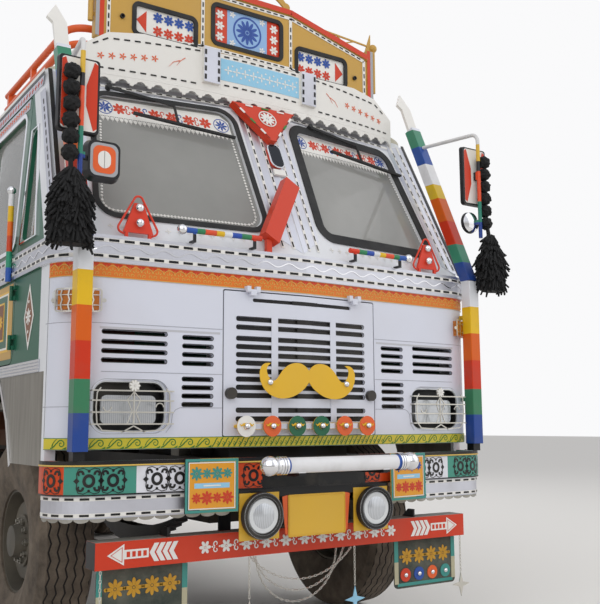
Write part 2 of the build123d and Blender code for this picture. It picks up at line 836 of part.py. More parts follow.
# Fixed glass: two windscreens, two quarter lights and the rear window
with BuildPart() as cab_glass:
    with BuildSketch(Plane.XY.offset(belt_z)):
        screen_foot_plan(cab_wall / 2 - glass_sheet / 2)
    with BuildSketch(Plane.XY.offset(header_z)):
        screen_head_plan(cab_wall / 2 - glass_sheet / 2)
    loft(ruled=True)
    with BuildSketch(Plane.XY.offset(belt_z)):
        screen_foot_plan(cab_wall / 2 + glass_sheet / 2)
    with BuildSketch(Plane.XY.offset(header_z)):
        screen_head_plan(cab_wall / 2 + glass_sheet / 2)
    loft(ruled=True, mode=Mode.SUBTRACT)
    glass_sheet_part = cab_glass.part

with BuildPart() as windscreens:
    add(glass_sheet_part)
    with BuildSketch(front_view):
        screen_cut(1, -gasket - seat_gap)
        screen_cut(-1, -gasket - seat_gap)
    extrude(amount=-900, mode=Mode.INTERSECT)
save(windscreens, "windscreens")

# Rubber around the windscreens, and two wipers parked along their top edges
rubber_proud = 8
wiper_pivots = (-852, 338)
wiper_z = 2787
wiper_lift = 26
screen_tilt = degrees(atan2(screen_rake, 1))


def strut(start, end, width, depth):
    """A straight bar of rectangular section between two points."""
    path = Vector(*end) - Vector(*start)
    with BuildSketch(Plane(origin=start, x_dir=(0, -1, 0), z_dir=path)) as section:
        Rectangle(depth, width)
    extrude(section.sketch, amount=path.length)


with BuildPart() as screen_trim:
    with BuildSketch(Plane.XY.offset(belt_z)):
        screen_foot_plan(-rubber_proud)
    with BuildSketch(Plane.XY.offset(header_z)):
        screen_head_plan(-rubber_proud)
    loft(ruled=True)
    with BuildSketch(Plane.XY.offset(belt_z)):
        screen_foot_plan(-seat_gap)
    with BuildSketch(Plane.XY.offset(header_z)):
        screen_head_plan(-seat_gap)
    loft(ruled=True, mode=Mode.SUBTRACT)
    with BuildSketch(front_view):
        screen_cut(1, 0)
        screen_cut(-1, 0)
    extrude(amount=-900, mode=Mode.INTERSECT)
    with BuildSketch(front_view):
        screen_cut(1, -gasket)
        screen_cut(-1, -gasket)
    extrude(amount=-900, mode=Mode.SUBTRACT)
    for x in wiper_pivots:
        with BuildSketch(
            Plane(
                origin=(x, screen_y(x, wiper_z) - 2, wiper_z),
                x_dir=(1, 0, 0),
                z_dir=(0, -cos(radians(screen_tilt)), sin(radians(screen_tilt))),
            )
        ):
            Circle(14)
        extrude(amount=wiper_lift)
        places = ((0, wiper_z), (330, 2740), (330, 2622), (100, 2648), (635, 2593))
        points = [(x + dx, screen_y(x + dx, z) - wiper_lift, z) for dx, z in places]
        strut(points[0], points[1], 14, 10)
        strut(points[1], points[2], 10, 10)
        strut(points[3], points[4], 12, 20)
save(screen_trim, "screen_trim")

with BuildPart() as side_glass:
    add(glass_sheet_part)
    with BuildSketch(side_view):
        quarter_outline(seat_gap)
    extrude(amount=3 * cab_half, both=True, mode=Mode.INTERSECT)
    with Locations((0, nose_y + cab_length / 4, header_z)):
        Box(2 * (roof_edge_half - 2 * cab_wall), cab_length, 3 * cab_length, mode=Mode.SUBTRACT)
    with BuildSketch(Plane(origin=(0, cab_back_y, 0), x_dir=(1, 0, 0), z_dir=(0, -1, 0))):
        with Locations((0, (rear_window_bottom + rear_window_top) / 2)):
            RectangleRounded(
                2 * (rear_window_half - seat_gap),
                rear_window_top - rear_window_bottom - 2 * seat_gap,
                60 - seat_gap,
            )
    extrude(amount=glass_sheet)
save(side_glass, "side_glass")

# Front panel: white sheet with slots, lamp recesses and the hatch opening
slot_height = 15
long_slots = ((720, 1020, 1505), (720, 1020, 1462), (720, 1020, 1422), (720, 1020, 1382))
short_slots_z = (1496, 1457, 1418, 1379, 1308, 1270, 1232, 1194)
short_slot_inner = 494
short_slot_outer = 646
recess_inner = 705
recess_outer = 1062
recess_bottom = 1066
recess_top = 1302
recess_radius = 70


def slot(x0, x1, z, height=slot_height):
    with Locations(((x0 + x1) / 2, z)):
        SlotOverall(abs(x1 - x0), height)


def panel_slots(side):
    for x0, x1, z in long_slots:
        slot(side * x0, side * x1, z)
    for z in short_slots_z:
        slot(side * short_slot_inner, side * short_slot_outer, z)


def lamp_recess(side, shrink=0):
    with Locations(
        (side * (recess_inner + recess_outer) / 2, (recess_bottom + recess_top) / 2)
    ):
        RectangleRounded(
            recess_outer - recess_inner - 2 * shrink,
            recess_top - recess_bottom - 2 * shrink,
            recess_radius - shrink,
        )


with BuildPart() as panel_skin:
    with BuildSketch(Plane.XY.offset(panel_bottom)):
        face_plan()
    extrude(amount=panel_top - panel_bottom)
    with BuildSketch(Plane.XY.offset(panel_bottom)):
        face_plan(panel_wall)
    extrude(amount=panel_top - panel_bottom, mode=Mode.SUBTRACT)
    with Locations((0, panel_return_y + cab_length, (panel_top + panel_bottom) / 2)):
        Box(3 * cab_half, 2 * cab_length, panel_top, mode=Mode.SUBTRACT)

with BuildPart() as front_panel:
    add(panel_skin.part)
    with BuildSketch(front_view):
        for side in (1, -1):
            panel_slots(side)
            lamp_recess(side)
        with Locations((0, (hatch_bottom + hatch_top) / 2)):
            RectangleRounded(
                2 * (hatch_half + hatch_gap), hatch_top - hatch_bottom + 2 * hatch_gap, 12
            )
    extrude(amount=-420, mode=Mode.SUBTRACT)
    for x in hatch_hinge_columns:
        for low in (x - hinge_length, x + hinge_half + seat_gap):
            with BuildSketch(Plane(origin=(low, 0, 0), x_dir=(0, 1, 0), z_dir=(1, 0, 0))):
                with Locations((hatch_hinge_y, hatch_hinge_z)):
                    Circle(hinge_radius)
                leaf_back = face_front_y(abs(x)) + panel_wall / 2
                with Locations(((hatch_hinge_y + leaf_back) / 2, hatch_hinge_z + 14)):
                    Rectangle(leaf_back - hatch_hinge_y, 16)
                with Locations((hatch_hinge_y, hatch_hinge_z + 11)):
                    Rectangle(2 * hinge_radius, 22)
            extrude(amount=hinge_length - hinge_half - seat_gap)
        with Locations((x, hatch_hinge_y, hatch_hinge_z)):
            Cylinder(hinge_pin_radius, 2 * hinge_length, rotation=(0, 90, 0))
save(front_panel, "front_panel")

# Hatch: a slotted lid hinged along its top edge
hatch_slots = (
    ((60, 290), (1690,)),
    ((35, 375), (1598, 1558, 1505, 1466, 1428, 1390, 1352, 1314, 1276, 1238, 1170, 1130)),
)
with BuildPart() as grille_hatch:
    add(panel_skin.part)
    with BuildSketch(front_view):
        with Locations((0, (hatch_bottom + hatch_top) / 2)):
            RectangleRounded(2 * hatch_half, hatch_top - hatch_bottom, 8)
    extrude(amount=-420, mode=Mode.INTERSECT)
    with BuildSketch(front_view):
        for side in (1, -1):
            for (x0, x1), rows in hatch_slots:
                for z in rows:
                    slot(side * x0, side * x1, z, 18)
    extrude(amount=-420, mode=Mode.SUBTRACT)
    for x in hatch_hinge_columns:
        with BuildSketch(Plane(origin=(x - hinge_half, 0, 0), x_dir=(0, 1, 0), z_dir=(1, 0, 0))):
            with Locations((hatch_hinge_y, hatch_hinge_z)):
                Circle(hinge_radius)
            leaf_back = face_front_y(abs(x)) + panel_wall / 2
            with Locations(((hatch_hinge_y + leaf_back) / 2, hatch_hinge_z - 14)):
                Rectangle(leaf_back - hatch_hinge_y, 16)
            with Locations((hatch_hinge_y, hatch_hinge_z - 11)):
                Rectangle(2 * hinge_radius, 22)
            with Locations((hatch_hinge_y, hatch_hinge_z)):
                Circle(hinge_pin_radius + pin_gap, mode=Mode.SUBTRACT)
        extrude(amount=2 * hinge_half)
save(grille_hatch, "grille_hatch")

# Hatch ornaments: a moustache-shaped plate, a bar of round studs and two latch knobs
knob_radius = 26
disc_radius = 46
disc_pitch = 140
disc_z = 1096
moustache_y = nose_y - 42
with BuildPart() as hatch_ornaments:
    moustache_plane = Plane(
        origin=(0, moustache_y, 1318), x_dir=(1, 0, 0), z_dir=(0, -1, 0)
    )
    with BuildSketch(moustache_plane):
        for side in (1, -1):
            with BuildLine():
                Spline(
                    (0, 42),
                    (side * 70, 78),
                    (side * 150, 40),
                    (side * 205, -10),
                    (side * 238, 30),
                    (side * 215, 72),
                )
                Spline(
                    (side * 215, 72),
                    (side * 268, 55),
                    (side * 270, -20),
                    (side * 190, -88),
                    (side * 80, -78),
                    (0, -12),
                )
                Line((0, -12), (0, 42))
            make_face()
    extrude(amount=3)
    for x, z in ((-200, 1300), (0, 1330), (200, 1300)):
        with BuildSketch(Plane(origin=(x, moustache_y, z), x_dir=(1, 0, 0), z_dir=(0, 1, 0))):
            Circle(9)
        extrude(amount=face_front_y(max(abs(x) - 9, 0)) - seat_gap - moustache_y)
    with Locations((0, nose_y - 36, disc_z)):
        Box(2 * 390, 5, 30)
    with BuildSketch(Plane(origin=(0, nose_y - 38, disc_z), x_dir=(1, 0, 0), z_dir=(0, -1, 0))):
        with GridLocations(disc_pitch, 1, 6, 1):
            Circle(disc_radius)
    extrude(amount=8)
    with BuildSketch(Plane(origin=(0, nose_y - 46, disc_z), x_dir=(1, 0, 0), z_dir=(0, -1, 0))):
        with GridLocations(disc_pitch, 1, 6, 1):
            Circle(18)
    extrude(amount=16, taper=25)
    for side in (1, -1):
        x = side * 380
        with BuildSketch(Plane(origin=(x, nose_y - 35, disc_z), x_dir=(1, 0, 0), z_dir=(0, 1, 0))):
            Circle(8)
        extrude(amount=face_front_y(372) - seat_gap - (nose_y - 35))
        with BuildSketch(
            Plane(origin=(side * 408, face_front_y(408 - knob_radius) - seat_gap, 1247), x_dir=(1, 0, 0), z_dir=(0, -1, 0))
        ):
            Circle(knob_radius)
        extrude(amount=22)
save(hatch_ornaments, "hatch_ornaments")

# Head lamps in their recesses and the caged indicators on the corners
lamp_front = 14
lamp_depth = 110
indicator_turn = 45
indicator_depth = 20
indicator_z = 1645
corner_centre_x = cab_half - face_corner_radius
corner_centre_y = face_front_y(corner_centre_x) + sqrt(1 + face_sweep**2) * face_corner_radius
with BuildPart() as front_lamps:
    for sign in (1, -1):
        middle_x = sign * (recess_inner + recess_outer) / 2
        lamp_y = face_front_y(recess_outer)
        with BuildSketch(Plane(origin=(0, lamp_y, 0), x_dir=(1, 0, 0), z_dir=(0, -1, 0))):
            lamp_recess(sign, seat_gap)
        extrude(amount=-lamp_depth)
        with BuildSketch(Plane(origin=(0, lamp_y, 0), x_dir=(1, 0, 0), z_dir=(0, -1, 0))):
            lamp_recess(sign, 14)
        extrude(amount=-60, mode=Mode.SUBTRACT)
        with BuildSketch(Plane(origin=(0, lamp_y + 12, 0), x_dir=(1, 0, 0), z_dir=(0, -1, 0))):
            with Locations((middle_x, (recess_bottom + recess_top) / 2 - 14)):
                RectangleRounded(236, 118, 22)
        extrude(amount=-60)
        turn = radians(indicator_turn)
        base = Vector(
            sign * (corner_centre_x + (face_corner_radius + seat_gap) * sin(turn)),
            corner_centre_y - (face_corner_radius + seat_gap) * cos(turn),
            indicator_z,
        )
        with BuildSketch(
            Plane(
                origin=base,
                x_dir=(cos(turn), sign * sin(turn), 0),
                z_dir=(sign * sin(turn), -cos(turn), 0),
            )
        ):
            RectangleRounded(130, 70, 14)
        extrude(amount=indicator_depth)
save(front_lamps, "front_lamps")

# Wire guards in front of the head lamps
wire = 6
guard_y = nose_y - 4
guard_rows = (1108, 1158, 1208, 1250)
guard_middle = (recess_inner + recess_outer) / 2
with BuildPart() as lamp_guards:
    for sign in (1, -1):
        for z in guard_rows:
            with Locations((sign * guard_middle, guard_y, z)):
                Box(recess_outer - recess_inner + 20, wire, wire)
            for x in (recess_inner - 7, recess_outer + 7):
                leg = face_front_y(x - 3) - guard_y - seat_gap
                with Locations((sign * x, guard_y + leg / 2, z)):
                    Box(wire, leg, wire)
        with Locations((sign * guard_middle, guard_y, (guard_rows[0] + guard_rows[-1]) / 2)):
            Box(wire, wire, guard_rows[-1] - guard_rows[0])
        with BuildSketch(
            Plane(
                origin=(sign * guard_middle, guard_y + wire / 2, guard_rows[-1] + 22),
                x_dir=(1, 0, 0),
                z_dir=(0, -1, 0),
            )
        ):
            Circle(24)
        extrude(amount=wire)
save(lamp_guards, "lamp_guards")

# Roof: arched panel closed down to the cab's top edge
with BuildPart() as roof_block:
    with BuildSketch(Plane.XY.offset(header_z)):
        screen_head_plan()
    extrude(amount=roof_rise + 50)
    with BuildSketch(Plane(origin=(0, nose_y - 400, 0), x_dir=(1, 0, 0), z_dir=(0, -1, 0))):
        with BuildLine():
            Line((-roof_edge_half, header_z), (roof_edge_half, header_z))
            ThreePointArc(
                (roof_edge_half, header_z),
                (0, header_z + roof_rise),
                (-roof_edge_half, header_z),
            )
        make_face()
    extrude(amount=-3000, mode=Mode.INTERSECT)

roof_sheet = 30
with BuildPart() as roof_hollow:
    with BuildSketch(Plane.XY.offset(header_z)):
        screen_head_plan(cab_wall)
    extrude(amount=roof_rise)
    with BuildSketch(Plane(origin=(0, nose_y - 400, 0), x_dir=(1, 0, 0), z_dir=(0, -1, 0))):
        with BuildLine():
            Line((-roof_edge_half, header_z), (roof_edge_half, header_z))
            ThreePointArc(
                (roof_edge_half, header_z),
                (0, header_z + roof_rise - roof_sheet),
                (-roof_edge_half, header_z),
            )
        make_face()
    extrude(amount=-3000, mode=Mode.INTERSECT)

with BuildPart() as cab_roof:
    add(roof_block.part)
    add(roof_hollow.part, mode=Mode.SUBTRACT)
save(cab_roof, "cab_roof")

# Visor over the windscreens: a bowed hood on the roof's front, with two upright strips
visor_half = 1010
visor_middle_y = nose_y + 408
visor_end_y = nose_y + 520
visor_back_y = nose_y + 610
visor_bottom = header_z + seat_gap
fascia_bottom = 2818
fascia_sheet = 8
crown_y = nose_y + 560
strip_inner = 262
strip_outer = 360
strip_proud = 10


def visor_front(shift=0):
    """Draws the visor's plan between its bowed front edge and its straight back."""
    with BuildLine() as outline:
        ThreePointArc(
            (-visor_half, visor_end_y + shift),
            (0, visor_middle_y + shift),
            (visor_half, visor_end_y + shift),
        )
        Polyline(
            (visor_half, visor_end_y + shift),
            (visor_half, visor_back_y),
            (-visor_half, visor_back_y),
            (-visor_half, visor_end_y + shift),
        )
    make_face(outline.edges())


def visor_elevation(low):
    """Draws the visor from the front: arched top, level foot at a given height."""
    with BuildLine() as outline:
        Polyline(
            (-visor_half, low),
            (-visor_half, 2985),
            (-860, 3085),
            (-290, 3160),
            (290, 3160),
            (860, 3085),
            (visor_half, 2985),
            (visor_half, low),
            close=True,
        )
    make_face(outline.edges())


with BuildPart() as visor:
    with BuildSketch(Plane.XY.offset(visor_bottom)):
        visor_front()
    extrude(amount=400)
    with BuildSketch(front_view):
        visor_elevation(visor_bottom)
    extrude(amount=-1200, mode=Mode.INTERSECT)
    with BuildSketch(side_view):
        with BuildLine():
            Polyline(
                (visor_middle_y - 50, 3085),
                (visor_middle_y + 12, 3090),
                (crown_y, 3160),
                (crown_y, 3300),
                (visor_middle_y - 50, 3300),
                close=True,
            )
        make_face()
    extrude(amount=2 * visor_half, both=True, mode=Mode.SUBTRACT)
    add(roof_block.part, mode=Mode.SUBTRACT)
    for side in (1, -1):
        with BuildSketch(Plane.XY.offset(2905)):
            with Locations((side * (strip_inner + strip_outer) / 2, visor_middle_y + 15)):
                Rectangle(strip_outer - strip_inner, 30 + 2 * strip_proud)
        extrude(amount=195)
save(visor, "visor")

# Fascia hanging at the visor's front edge, scalloped along its foot
scallop_count = 36
scallop_rise = 30
with BuildPart() as visor_fringe:
    with BuildSketch(Plane.XY.offset(fascia_bottom)):
        visor_front(seat_gap)
        with BuildLine() as back_edge:
            ThreePointArc(
                (-visor_half, visor_end_y + fascia_sheet),
                (0, visor_middle_y + fascia_sheet),
                (visor_half, visor_end_y + fascia_sheet),
            )
            Polyline(
                (visor_half, visor_end_y + fascia_sheet),
                (visor_half, visor_back_y + 5),
                (-visor_half, visor_back_y + 5),
                (-visor_half, visor_end_y + fascia_sheet),
            )
        make_face(back_edge.edges(), mode=Mode.SUBTRACT)
    extrude(amount=visor_bottom - fascia_bottom - seat_gap)
    pitch = 2 * visor_half / scallop_count
    with BuildSketch(front_view):
        with Locations((0, fascia_bottom)):
            with GridLocations(pitch, 1, scallop_count, 1):
                Ellipse(pitch / 2 - 1, scallop_rise)
    extrude(amount=-1200, mode=Mode.SUBTRACT)
save(visor_fringe, "visor_fringe")

# Crown board: three framed fields under a peaked rail, with end posts and ornaments
crown_half = 860
crown_shoulder = 290
crown_sheet = 36
crown_low = 3085
crown_high = 3161
crown_peak = 3540
crown_end = 3395
rail_depth = 60
rail_thickness = 34
window_sink = 10
post_size = 46
post_top = 3430
crown_windows = ((0, 3205, 470, 250), (512, 3140, 380, 190), (-512, 3140, 380, 190))
crown_window_radius = 34


def crown_outline(drop=0):
    with BuildLine() as outline:
        Polyline(
            (-crown_half, crown_low),
            (-crown_shoulder, crown_high),
            (crown_shoulder, crown_high),
            (crown_half, crown_low),
            (crown_half, crown_end - drop),
            (crown_shoulder, crown_peak - drop),
            (-crown_shoulder, crown_peak - drop),
            (-crown_half, crown_end - drop),
            close=True,
        )
    make_face(outline.edges())


crown_plane = Plane(origin=(0, crown_y, 0), x_dir=(1, 0, 0), z_dir=(0, -1, 0))
with BuildPart() as crown_board:
    with BuildSketch(crown_plane):
        crown_outline()
    extrude(amount=-crown_sheet)
    with BuildSketch(crown_plane.offset(12)):
        crown_outline()
        with BuildLine() as lower_field:
            Polyline(
                (-crown_half - 1, crown_low - 100),
                (crown_half + 1, crown_low - 100),
                (crown_half + 1, crown_end - rail_thickness),
                (crown_shoulder, crown_peak - rail_thickness),
                (-crown_shoulder, crown_peak - rail_thickness),
                (-crown_half - 1, crown_end - rail_thickness),
                close=True,
            )
        make_face(lower_field.edges(), mode=Mode.SUBTRACT)
    extrude(amount=-rail_depth)
    with BuildSketch(crown_plane):
        for middle, low, width, height in crown_windows:
            with Locations((middle, low + height / 2)):
                RectangleRounded(width, height, crown_window_radius)
    extrude(amount=-window_sink, mode=Mode.SUBTRACT)
    for side in (1, -1):
        with Locations((side * (crown_half + post_size / 2), crown_y + 18, (crown_low + post_top) / 2)):
            Box(post_size, post_size, post_top - crown_low)
save(crown_board, "crown_board")

# Ornaments on the crown board: ball-topped posts, pennants on the ends, stays and a scrolled crest
stick_x = crown_half + post_size + 18
stick_radius = 14
stick_ball = 27
stick_low = 3168
stick_top = 3440
with BuildPart() as crown_ornaments:
    for side in (1, -1):
        with Locations((side * stick_x, crown_y + 18, (stick_low + stick_top) / 2)):
            Cylinder(stick_radius, stick_top - stick_low)
        with Locations((side * stick_x, crown_y + 18, stick_top + stick_ball - 4)):
            Sphere(stick_ball)
        clip_inner = crown_half + post_size + seat_gap
        for z in (stick_low + 40, stick_top - 40):
            with Locations((side * (clip_inner + stick_x) / 2, crown_y + 18, z)):
                Box(stick_x - clip_inner, 12, 16)
        with BuildSketch(crown_plane.offset(-24)):
            with BuildLine():
                Polyline(
                    (side * (crown_half + 2), post_top + seat_gap),
                    (side * (crown_half + post_size - 2), post_top + seat_gap),
                    (side * (crown_half + post_size - 2), post_top + 122),
                    close=True,
                )
            make_face()
        extrude(amount=10)
        rail_z = crown_end + (crown_half - 500) * (crown_peak - crown_end) / (crown_half - crown_shoulder)
        knee_z = crown_end + (crown_half - 690) * (crown_peak - crown_end) / (crown_half - crown_shoulder)
        stay_y = crown_y + 18
        strut((side * 500, stay_y, rail_z + 7), (side * (crown_half + 24), stay_y, post_top + 40), 9, 9)
        strut((side * 690, stay_y, knee_z + 6), (side * 640, stay_y, post_top + 58), 7, 7)
        strut((side * 690, stay_y, knee_z + 6), (side * 780, stay_y, post_top + 47), 7, 7)
        with BuildSketch(crown_plane.offset(-24)):
            with BuildLine():
                Polyline((side * 300, crown_peak + seat_gap), (side * 268, crown_peak + seat_gap))
                ThreePointArc(
                    (side * 268, crown_peak + seat_gap),
                    (side * 190, crown_peak + 62),
                    (0, crown_peak + 84),
                )
                Polyline((0, crown_peak + 84), (0, crown_peak + 120))
                ThreePointArc(
                    (0, crown_peak + 120),
                    (side * 218, crown_peak + 90),
                    (side * 300, crown_peak + seat_gap),
                )
            make_face()
            with Locations((side * 272, crown_peak + 24.3), (side * 60, crown_peak + 82)):
                Circle(24)
        extrude(amount=12)
    with BuildSketch(crown_plane.offset(-24)):
        with Locations((0, crown_peak + 106)):
            Circle(34)
    extrude(amount=16)
save(crown_ornaments, "crown_ornaments")

# Bumper: a wrapped band with a rounded top edge and a pressed skirt below it
def bumper_plan(inset=0):
    plan_outline(
        bumper_face_y,
        bumper_sweep,
        bumper_half,
        bumper_back_y + inset,
        bumper_corner_radius,
        inset,
    )


def cut_inner(depth, low, height):
    """Removes the inside of a wrapped strip, open to the rear."""
    with BuildSketch(Plane.XY.offset(low)) as hollow:
        bumper_plan(depth)
        with Locations((0, bumper_back_y)):
            Rectangle(2 * (bumper_half - depth), 4 * depth)
    extrude(hollow.sketch, amount=height, mode=Mode.SUBTRACT)


with BuildPart() as bumper:
    with BuildSketch(Plane.XY.offset(bumper_bottom)):
        bumper_plan()
    extrude(amount=bumper_top - bumper_bottom)
    top_edges = bumper.faces().sort_by(Axis.Z)[-1].edges().filter_by(lambda e: e.center().Y < bumper_back_y - 10)
    fillet(top_edges, 24)
    cut_inner(bumper_depth, bumper_bottom, bumper_top - bumper_bottom)
    with BuildSketch(Plane.XY.offset(bumper_skirt_bottom)):
        bumper_plan(12)
    extrude(amount=bumper_bottom - bumper_skirt_bottom)
    cut_inner(12 + skirt_sheet, bumper_skirt_bottom, bumper_bottom - bumper_skirt_bottom)
    bracket_front = bumper_face_y + bumper_depth + bumper_sweep * (rail_outer - 38)
    for side in (1, -1):
        bracket_back = frame_front_y - seat_gap
        with Locations(
            (
                side * (rail_outer - 19),
                (bracket_front - 4 + bracket_back) / 2,
                (bumper_bottom + frame_top) / 2,
            )
        ):
            Box(36, bracket_back - bracket_front + 4, frame_top - bumper_bottom - 6)
    with Locations((0, bumper_face_y, (bumper_skirt_bottom + bumper_bottom) / 2)):
        Box(
            2 * plates_half,
            2 * bumper_depth + 60,
            bumper_bottom - bumper_skirt_bottom,
            mode=Mode.SUBTRACT,
        )
save(bumper, "bumper")

# Plates and fog lamps ahead of the bumper, on one carrier bar under it
plate_sheet = 4
plate_y = nose_y - 108
carrier_bottom = 778
with BuildPart() as front_plates:
    plate_plane = Plane(origin=(0, plate_y, 0), x_dir=(1, 0, 0), z_dir=(0, -1, 0))
    with BuildSketch(plate_plane):
        with Locations((0, 688)):
            RectangleRounded(324, 190, 8)
        for side in (1, -1):
            with Locations((side * 316, 697)):
                Rectangle(208, 206)
    extrude(amount=-plate_sheet)
    with BuildSketch(plate_plane.offset(-plate_sheet)):
        with Locations((0, (carrier_bottom + bumper_bottom - seat_gap) / 2)):
            Rectangle(2 * plates_half - 12, bumper_bottom - seat_gap - carrier_bottom)
    extrude(amount=-40)
    for side in (1, -1):
        turn = radians(6)
        sign_x = side * 558
        with BuildSketch(
            Plane(
                origin=(sign_x, nose_y - 110, 842),
                x_dir=(cos(turn), side * sin(turn), 0),
                z_dir=(side * sin(turn), -cos(turn), 0),
            )
        ):
            Rectangle(250, 232)
        extrude(amount=-plate_sheet)
        with BuildSketch(
            Plane(
                origin=(sign_x, nose_y - 108, 870),
                x_dir=(cos(turn), side * sin(turn), 0),
                z_dir=(-side * sin(turn), cos(turn), 0),
            )
        ):
            Rectangle(120, 60)
        extrude(amount=30.7)
save(front_plates, "front_plates")

fog_x = 318
fog_z = 701
with BuildPart() as fog_lamps:
    for side in (1, -1):
        with BuildSketch(
            Plane(origin=(side * fog_x, plate_y - seat_gap, fog_z), x_dir=(1, 0, 0), z_dir=(0, -1, 0))
        ):
            Circle(70)
        extrude(amount=12)
        with BuildSketch(
            Plane(origin=(side * fog_x, plate_y - 12, fog_z), x_dir=(1, 0, 0), z_dir=(0, -1, 0))
        ):
            Circle(100)
        extrude(amount=34)
        with BuildSketch(
            Plane(origin=(side * fog_x, plate_y - 46, fog_z), x_dir=(1, 0, 0), z_dir=(0, -1, 0))
        ):
            Circle(84)
        extrude(amount=-14, mode=Mode.SUBTRACT)
        with BuildSketch(
            Plane(origin=(side * fog_x, plate_y - 30, fog_z), x_dir=(1, 0, 0), z_dir=(0, -1, 0))
        ):
            Circle(84)
        extrude(amount=12, taper=40)
save(fog_lamps, "fog_lamps")

# Tube with a ball at each end, on two flat arms off the bumper
tube_y = nose_y - 319
tube_z = 927
tube_radius = 34
tube_ball_radius = 42
tube_half = 392
arm_x = 235
collar_proud = 5
collar_width = 8
collar_pitch = 13
with BuildPart() as bumper_tube:
    ball_join = sqrt(tube_ball_radius**2 - tube_radius**2)
    with BuildSketch(Plane(origin=(0, tube_y, tube_z), x_dir=(1, 0, 0), z_dir=(0, -1, 0))):
        with BuildLine():
            Line((-tube_half - tube_ball_radius, 0), (tube_half + tube_ball_radius, 0))
            ThreePointArc(
                (tube_half + tube_ball_radius, 0),
                (tube_half, tube_ball_radius),
                (tube_half - ball_join, tube_radius),
            )
            Line((tube_half - ball_join, tube_radius), (-tube_half + ball_join, tube_radius))
            ThreePointArc(
                (-tube_half + ball_join, tube_radius),
                (-tube_half, tube_ball_radius),
                (-tube_half - tube_ball_radius, 0),
            )
        make_face()
        for side in (1, -1):
            for collar in range(3):
                with Locations(
                    (
                        side * (tube_half - 48 - collar * collar_pitch),
                        (tube_radius + collar_proud) / 2,
                    )
                ):
                    Rectangle(collar_width, tube_radius + collar_proud)
    revolve(axis=Axis((0, tube_y, tube_z), (1, 0, 0)))
    for side in (1, -1):
        arm_end = bumper_face_y + bumper_sweep * (arm_x - 20) - seat_gap
        with Locations((side * arm_x, (tube_y + arm_end) / 2, tube_z - tube_radius - 8)):
            Box(40, arm_end - tube_y, 14)
        with Locations((side * arm_x, tube_y, tube_z - tube_radius)):
            Box(38, 36, 20)
save(bumper_tube, "bumper_tube")

# Red step board hung under the rails, with arrowed ends left to paint
step_half = 1036
step_top = 621
step_bottom = 509
step_depth = 110
step_wall = 5
with BuildPart() as step_board:
    with Locations((0, nose_y + 3 + step_depth / 2, (step_top + step_bottom) / 2)):
        Box(2 * step_half, step_depth, step_top - step_bottom)
        Box(
            2 * step_half + 2,
            step_depth - 2 * step_wall,
            step_top - step_bottom - 2 * step_wall,
            mode=Mode.SUBTRACT,
        )
    for side in (1, -1):
        hanger_top = frame_bottom - seat_gap
        with Locations((side * (rail_outer - rail_flange / 2), nose_y + 80, (step_top + hanger_top) / 2)):
            Box(60, 14, hanger_top - step_top)
        with BuildSketch(Plane(origin=(side * 700 - 6, 0, 0), x_dir=(0, 1, 0), z_dir=(1, 0, 0))):
            with BuildLine():
                Polyline(
                    (nose_y + 20, step_top - 1),
                    (nose_y + 110, step_top - 1),
                    (nose_y + 60, bumper_skirt_bottom - 60),
                    (nose_y + 20, bumper_skirt_bottom - 60),
                    close=True,
                )
            make_face()
        extrude(amount=12)
save(step_board, "step_board")

# Mud flaps: two under the step board, two behind the rear wheels
flap_sheet = 6
with BuildPart() as mud_flaps:
    for side in (1, -1):
        with BuildSketch(
            Plane(origin=(side * 800, nose_y + 60, 0), x_dir=(1, 0, 0), z_dir=(0, -1, 0))
        ):
            with Locations((0, (step_bottom - seat_gap + 262) / 2)):
                RectangleRounded(420, step_bottom - seat_gap - 262, 24)
        extrude(amount=flap_sheet)
        with BuildSketch(
            Plane(origin=(side * rear_track / 2, bed_middle_y + 3 * bearer_pitch, 0), x_dir=(1, 0, 0), z_dir=(0, -1, 0))
        ):
            flap_top = bed_z - bed_thickness - bearer_height - seat_gap
            with Locations((0, (flap_top + 330) / 2)):
                Rectangle(580, flap_top - 330)
        extrude(amount=flap_sheet)
save(mud_flaps, "mud_flaps")

# Chains under the step board: three swags and four hanging strings with star pendants
chain_radius = 5
swag_half = 290
swag_y = nose_y + 20
swags = ((0, 130), (1, 185), (2, 240))
strings = (-1010, -300, 300, 1010)
string_low = 255
star_points = 4
star_outer = 62
star_inner = 18


def star(x, z):
    """Draws a four-pointed star in the current sketch."""
    rim = []
    for index in range(2 * star_points):
        radius = star_inner if index % 2 else star_outer
        turn = radians(index * 180 / star_points)
        rim.append((x + radius * sin(turn), z + radius * cos(turn)))
    with BuildLine() as outline:
        Polyline(*rim, close=True)
    make_face(outline.edges())


with BuildPart() as front_chains:
    for row, drop in swags:
        y = swag_y + row * 24
        with BuildLine(Plane(origin=(0, y, 0), x_dir=(1, 0, 0), z_dir=(0, -1, 0))) as swag_path:
            ThreePointArc(
                (-swag_half + row * 30, step_bottom - 0.8 * chain_radius),
                (0, step_bottom - drop),
                (swag_half - row * 30, step_bottom - 0.8 * chain_radius),
            )
        with BuildSketch(Plane(origin=swag_path.line @ 0, z_dir=swag_path.line % 0)):
            Circle(chain_radius)
        sweep()
        for end in (swag_path.line @ 0, swag_path.line @ 1):
            with Locations((end.X, y, step_bottom - seat_gap - 6)):
                Box(12, 12, 12)
    for x in strings:
        with BuildSketch(Plane.XY.offset(string_low + 40)):
            with Locations((x, swag_y - 12)):
                Circle(chain_radius)
        extrude(amount=step_bottom - seat_gap - string_low - 40)
        with BuildSketch(Plane(origin=(0, swag_y - 10, 0), x_dir=(1, 0, 0), z_dir=(0, -1, 0))):
            star(x, string_low)
        extrude(amount=4)
save(front_chains, "front_chains")

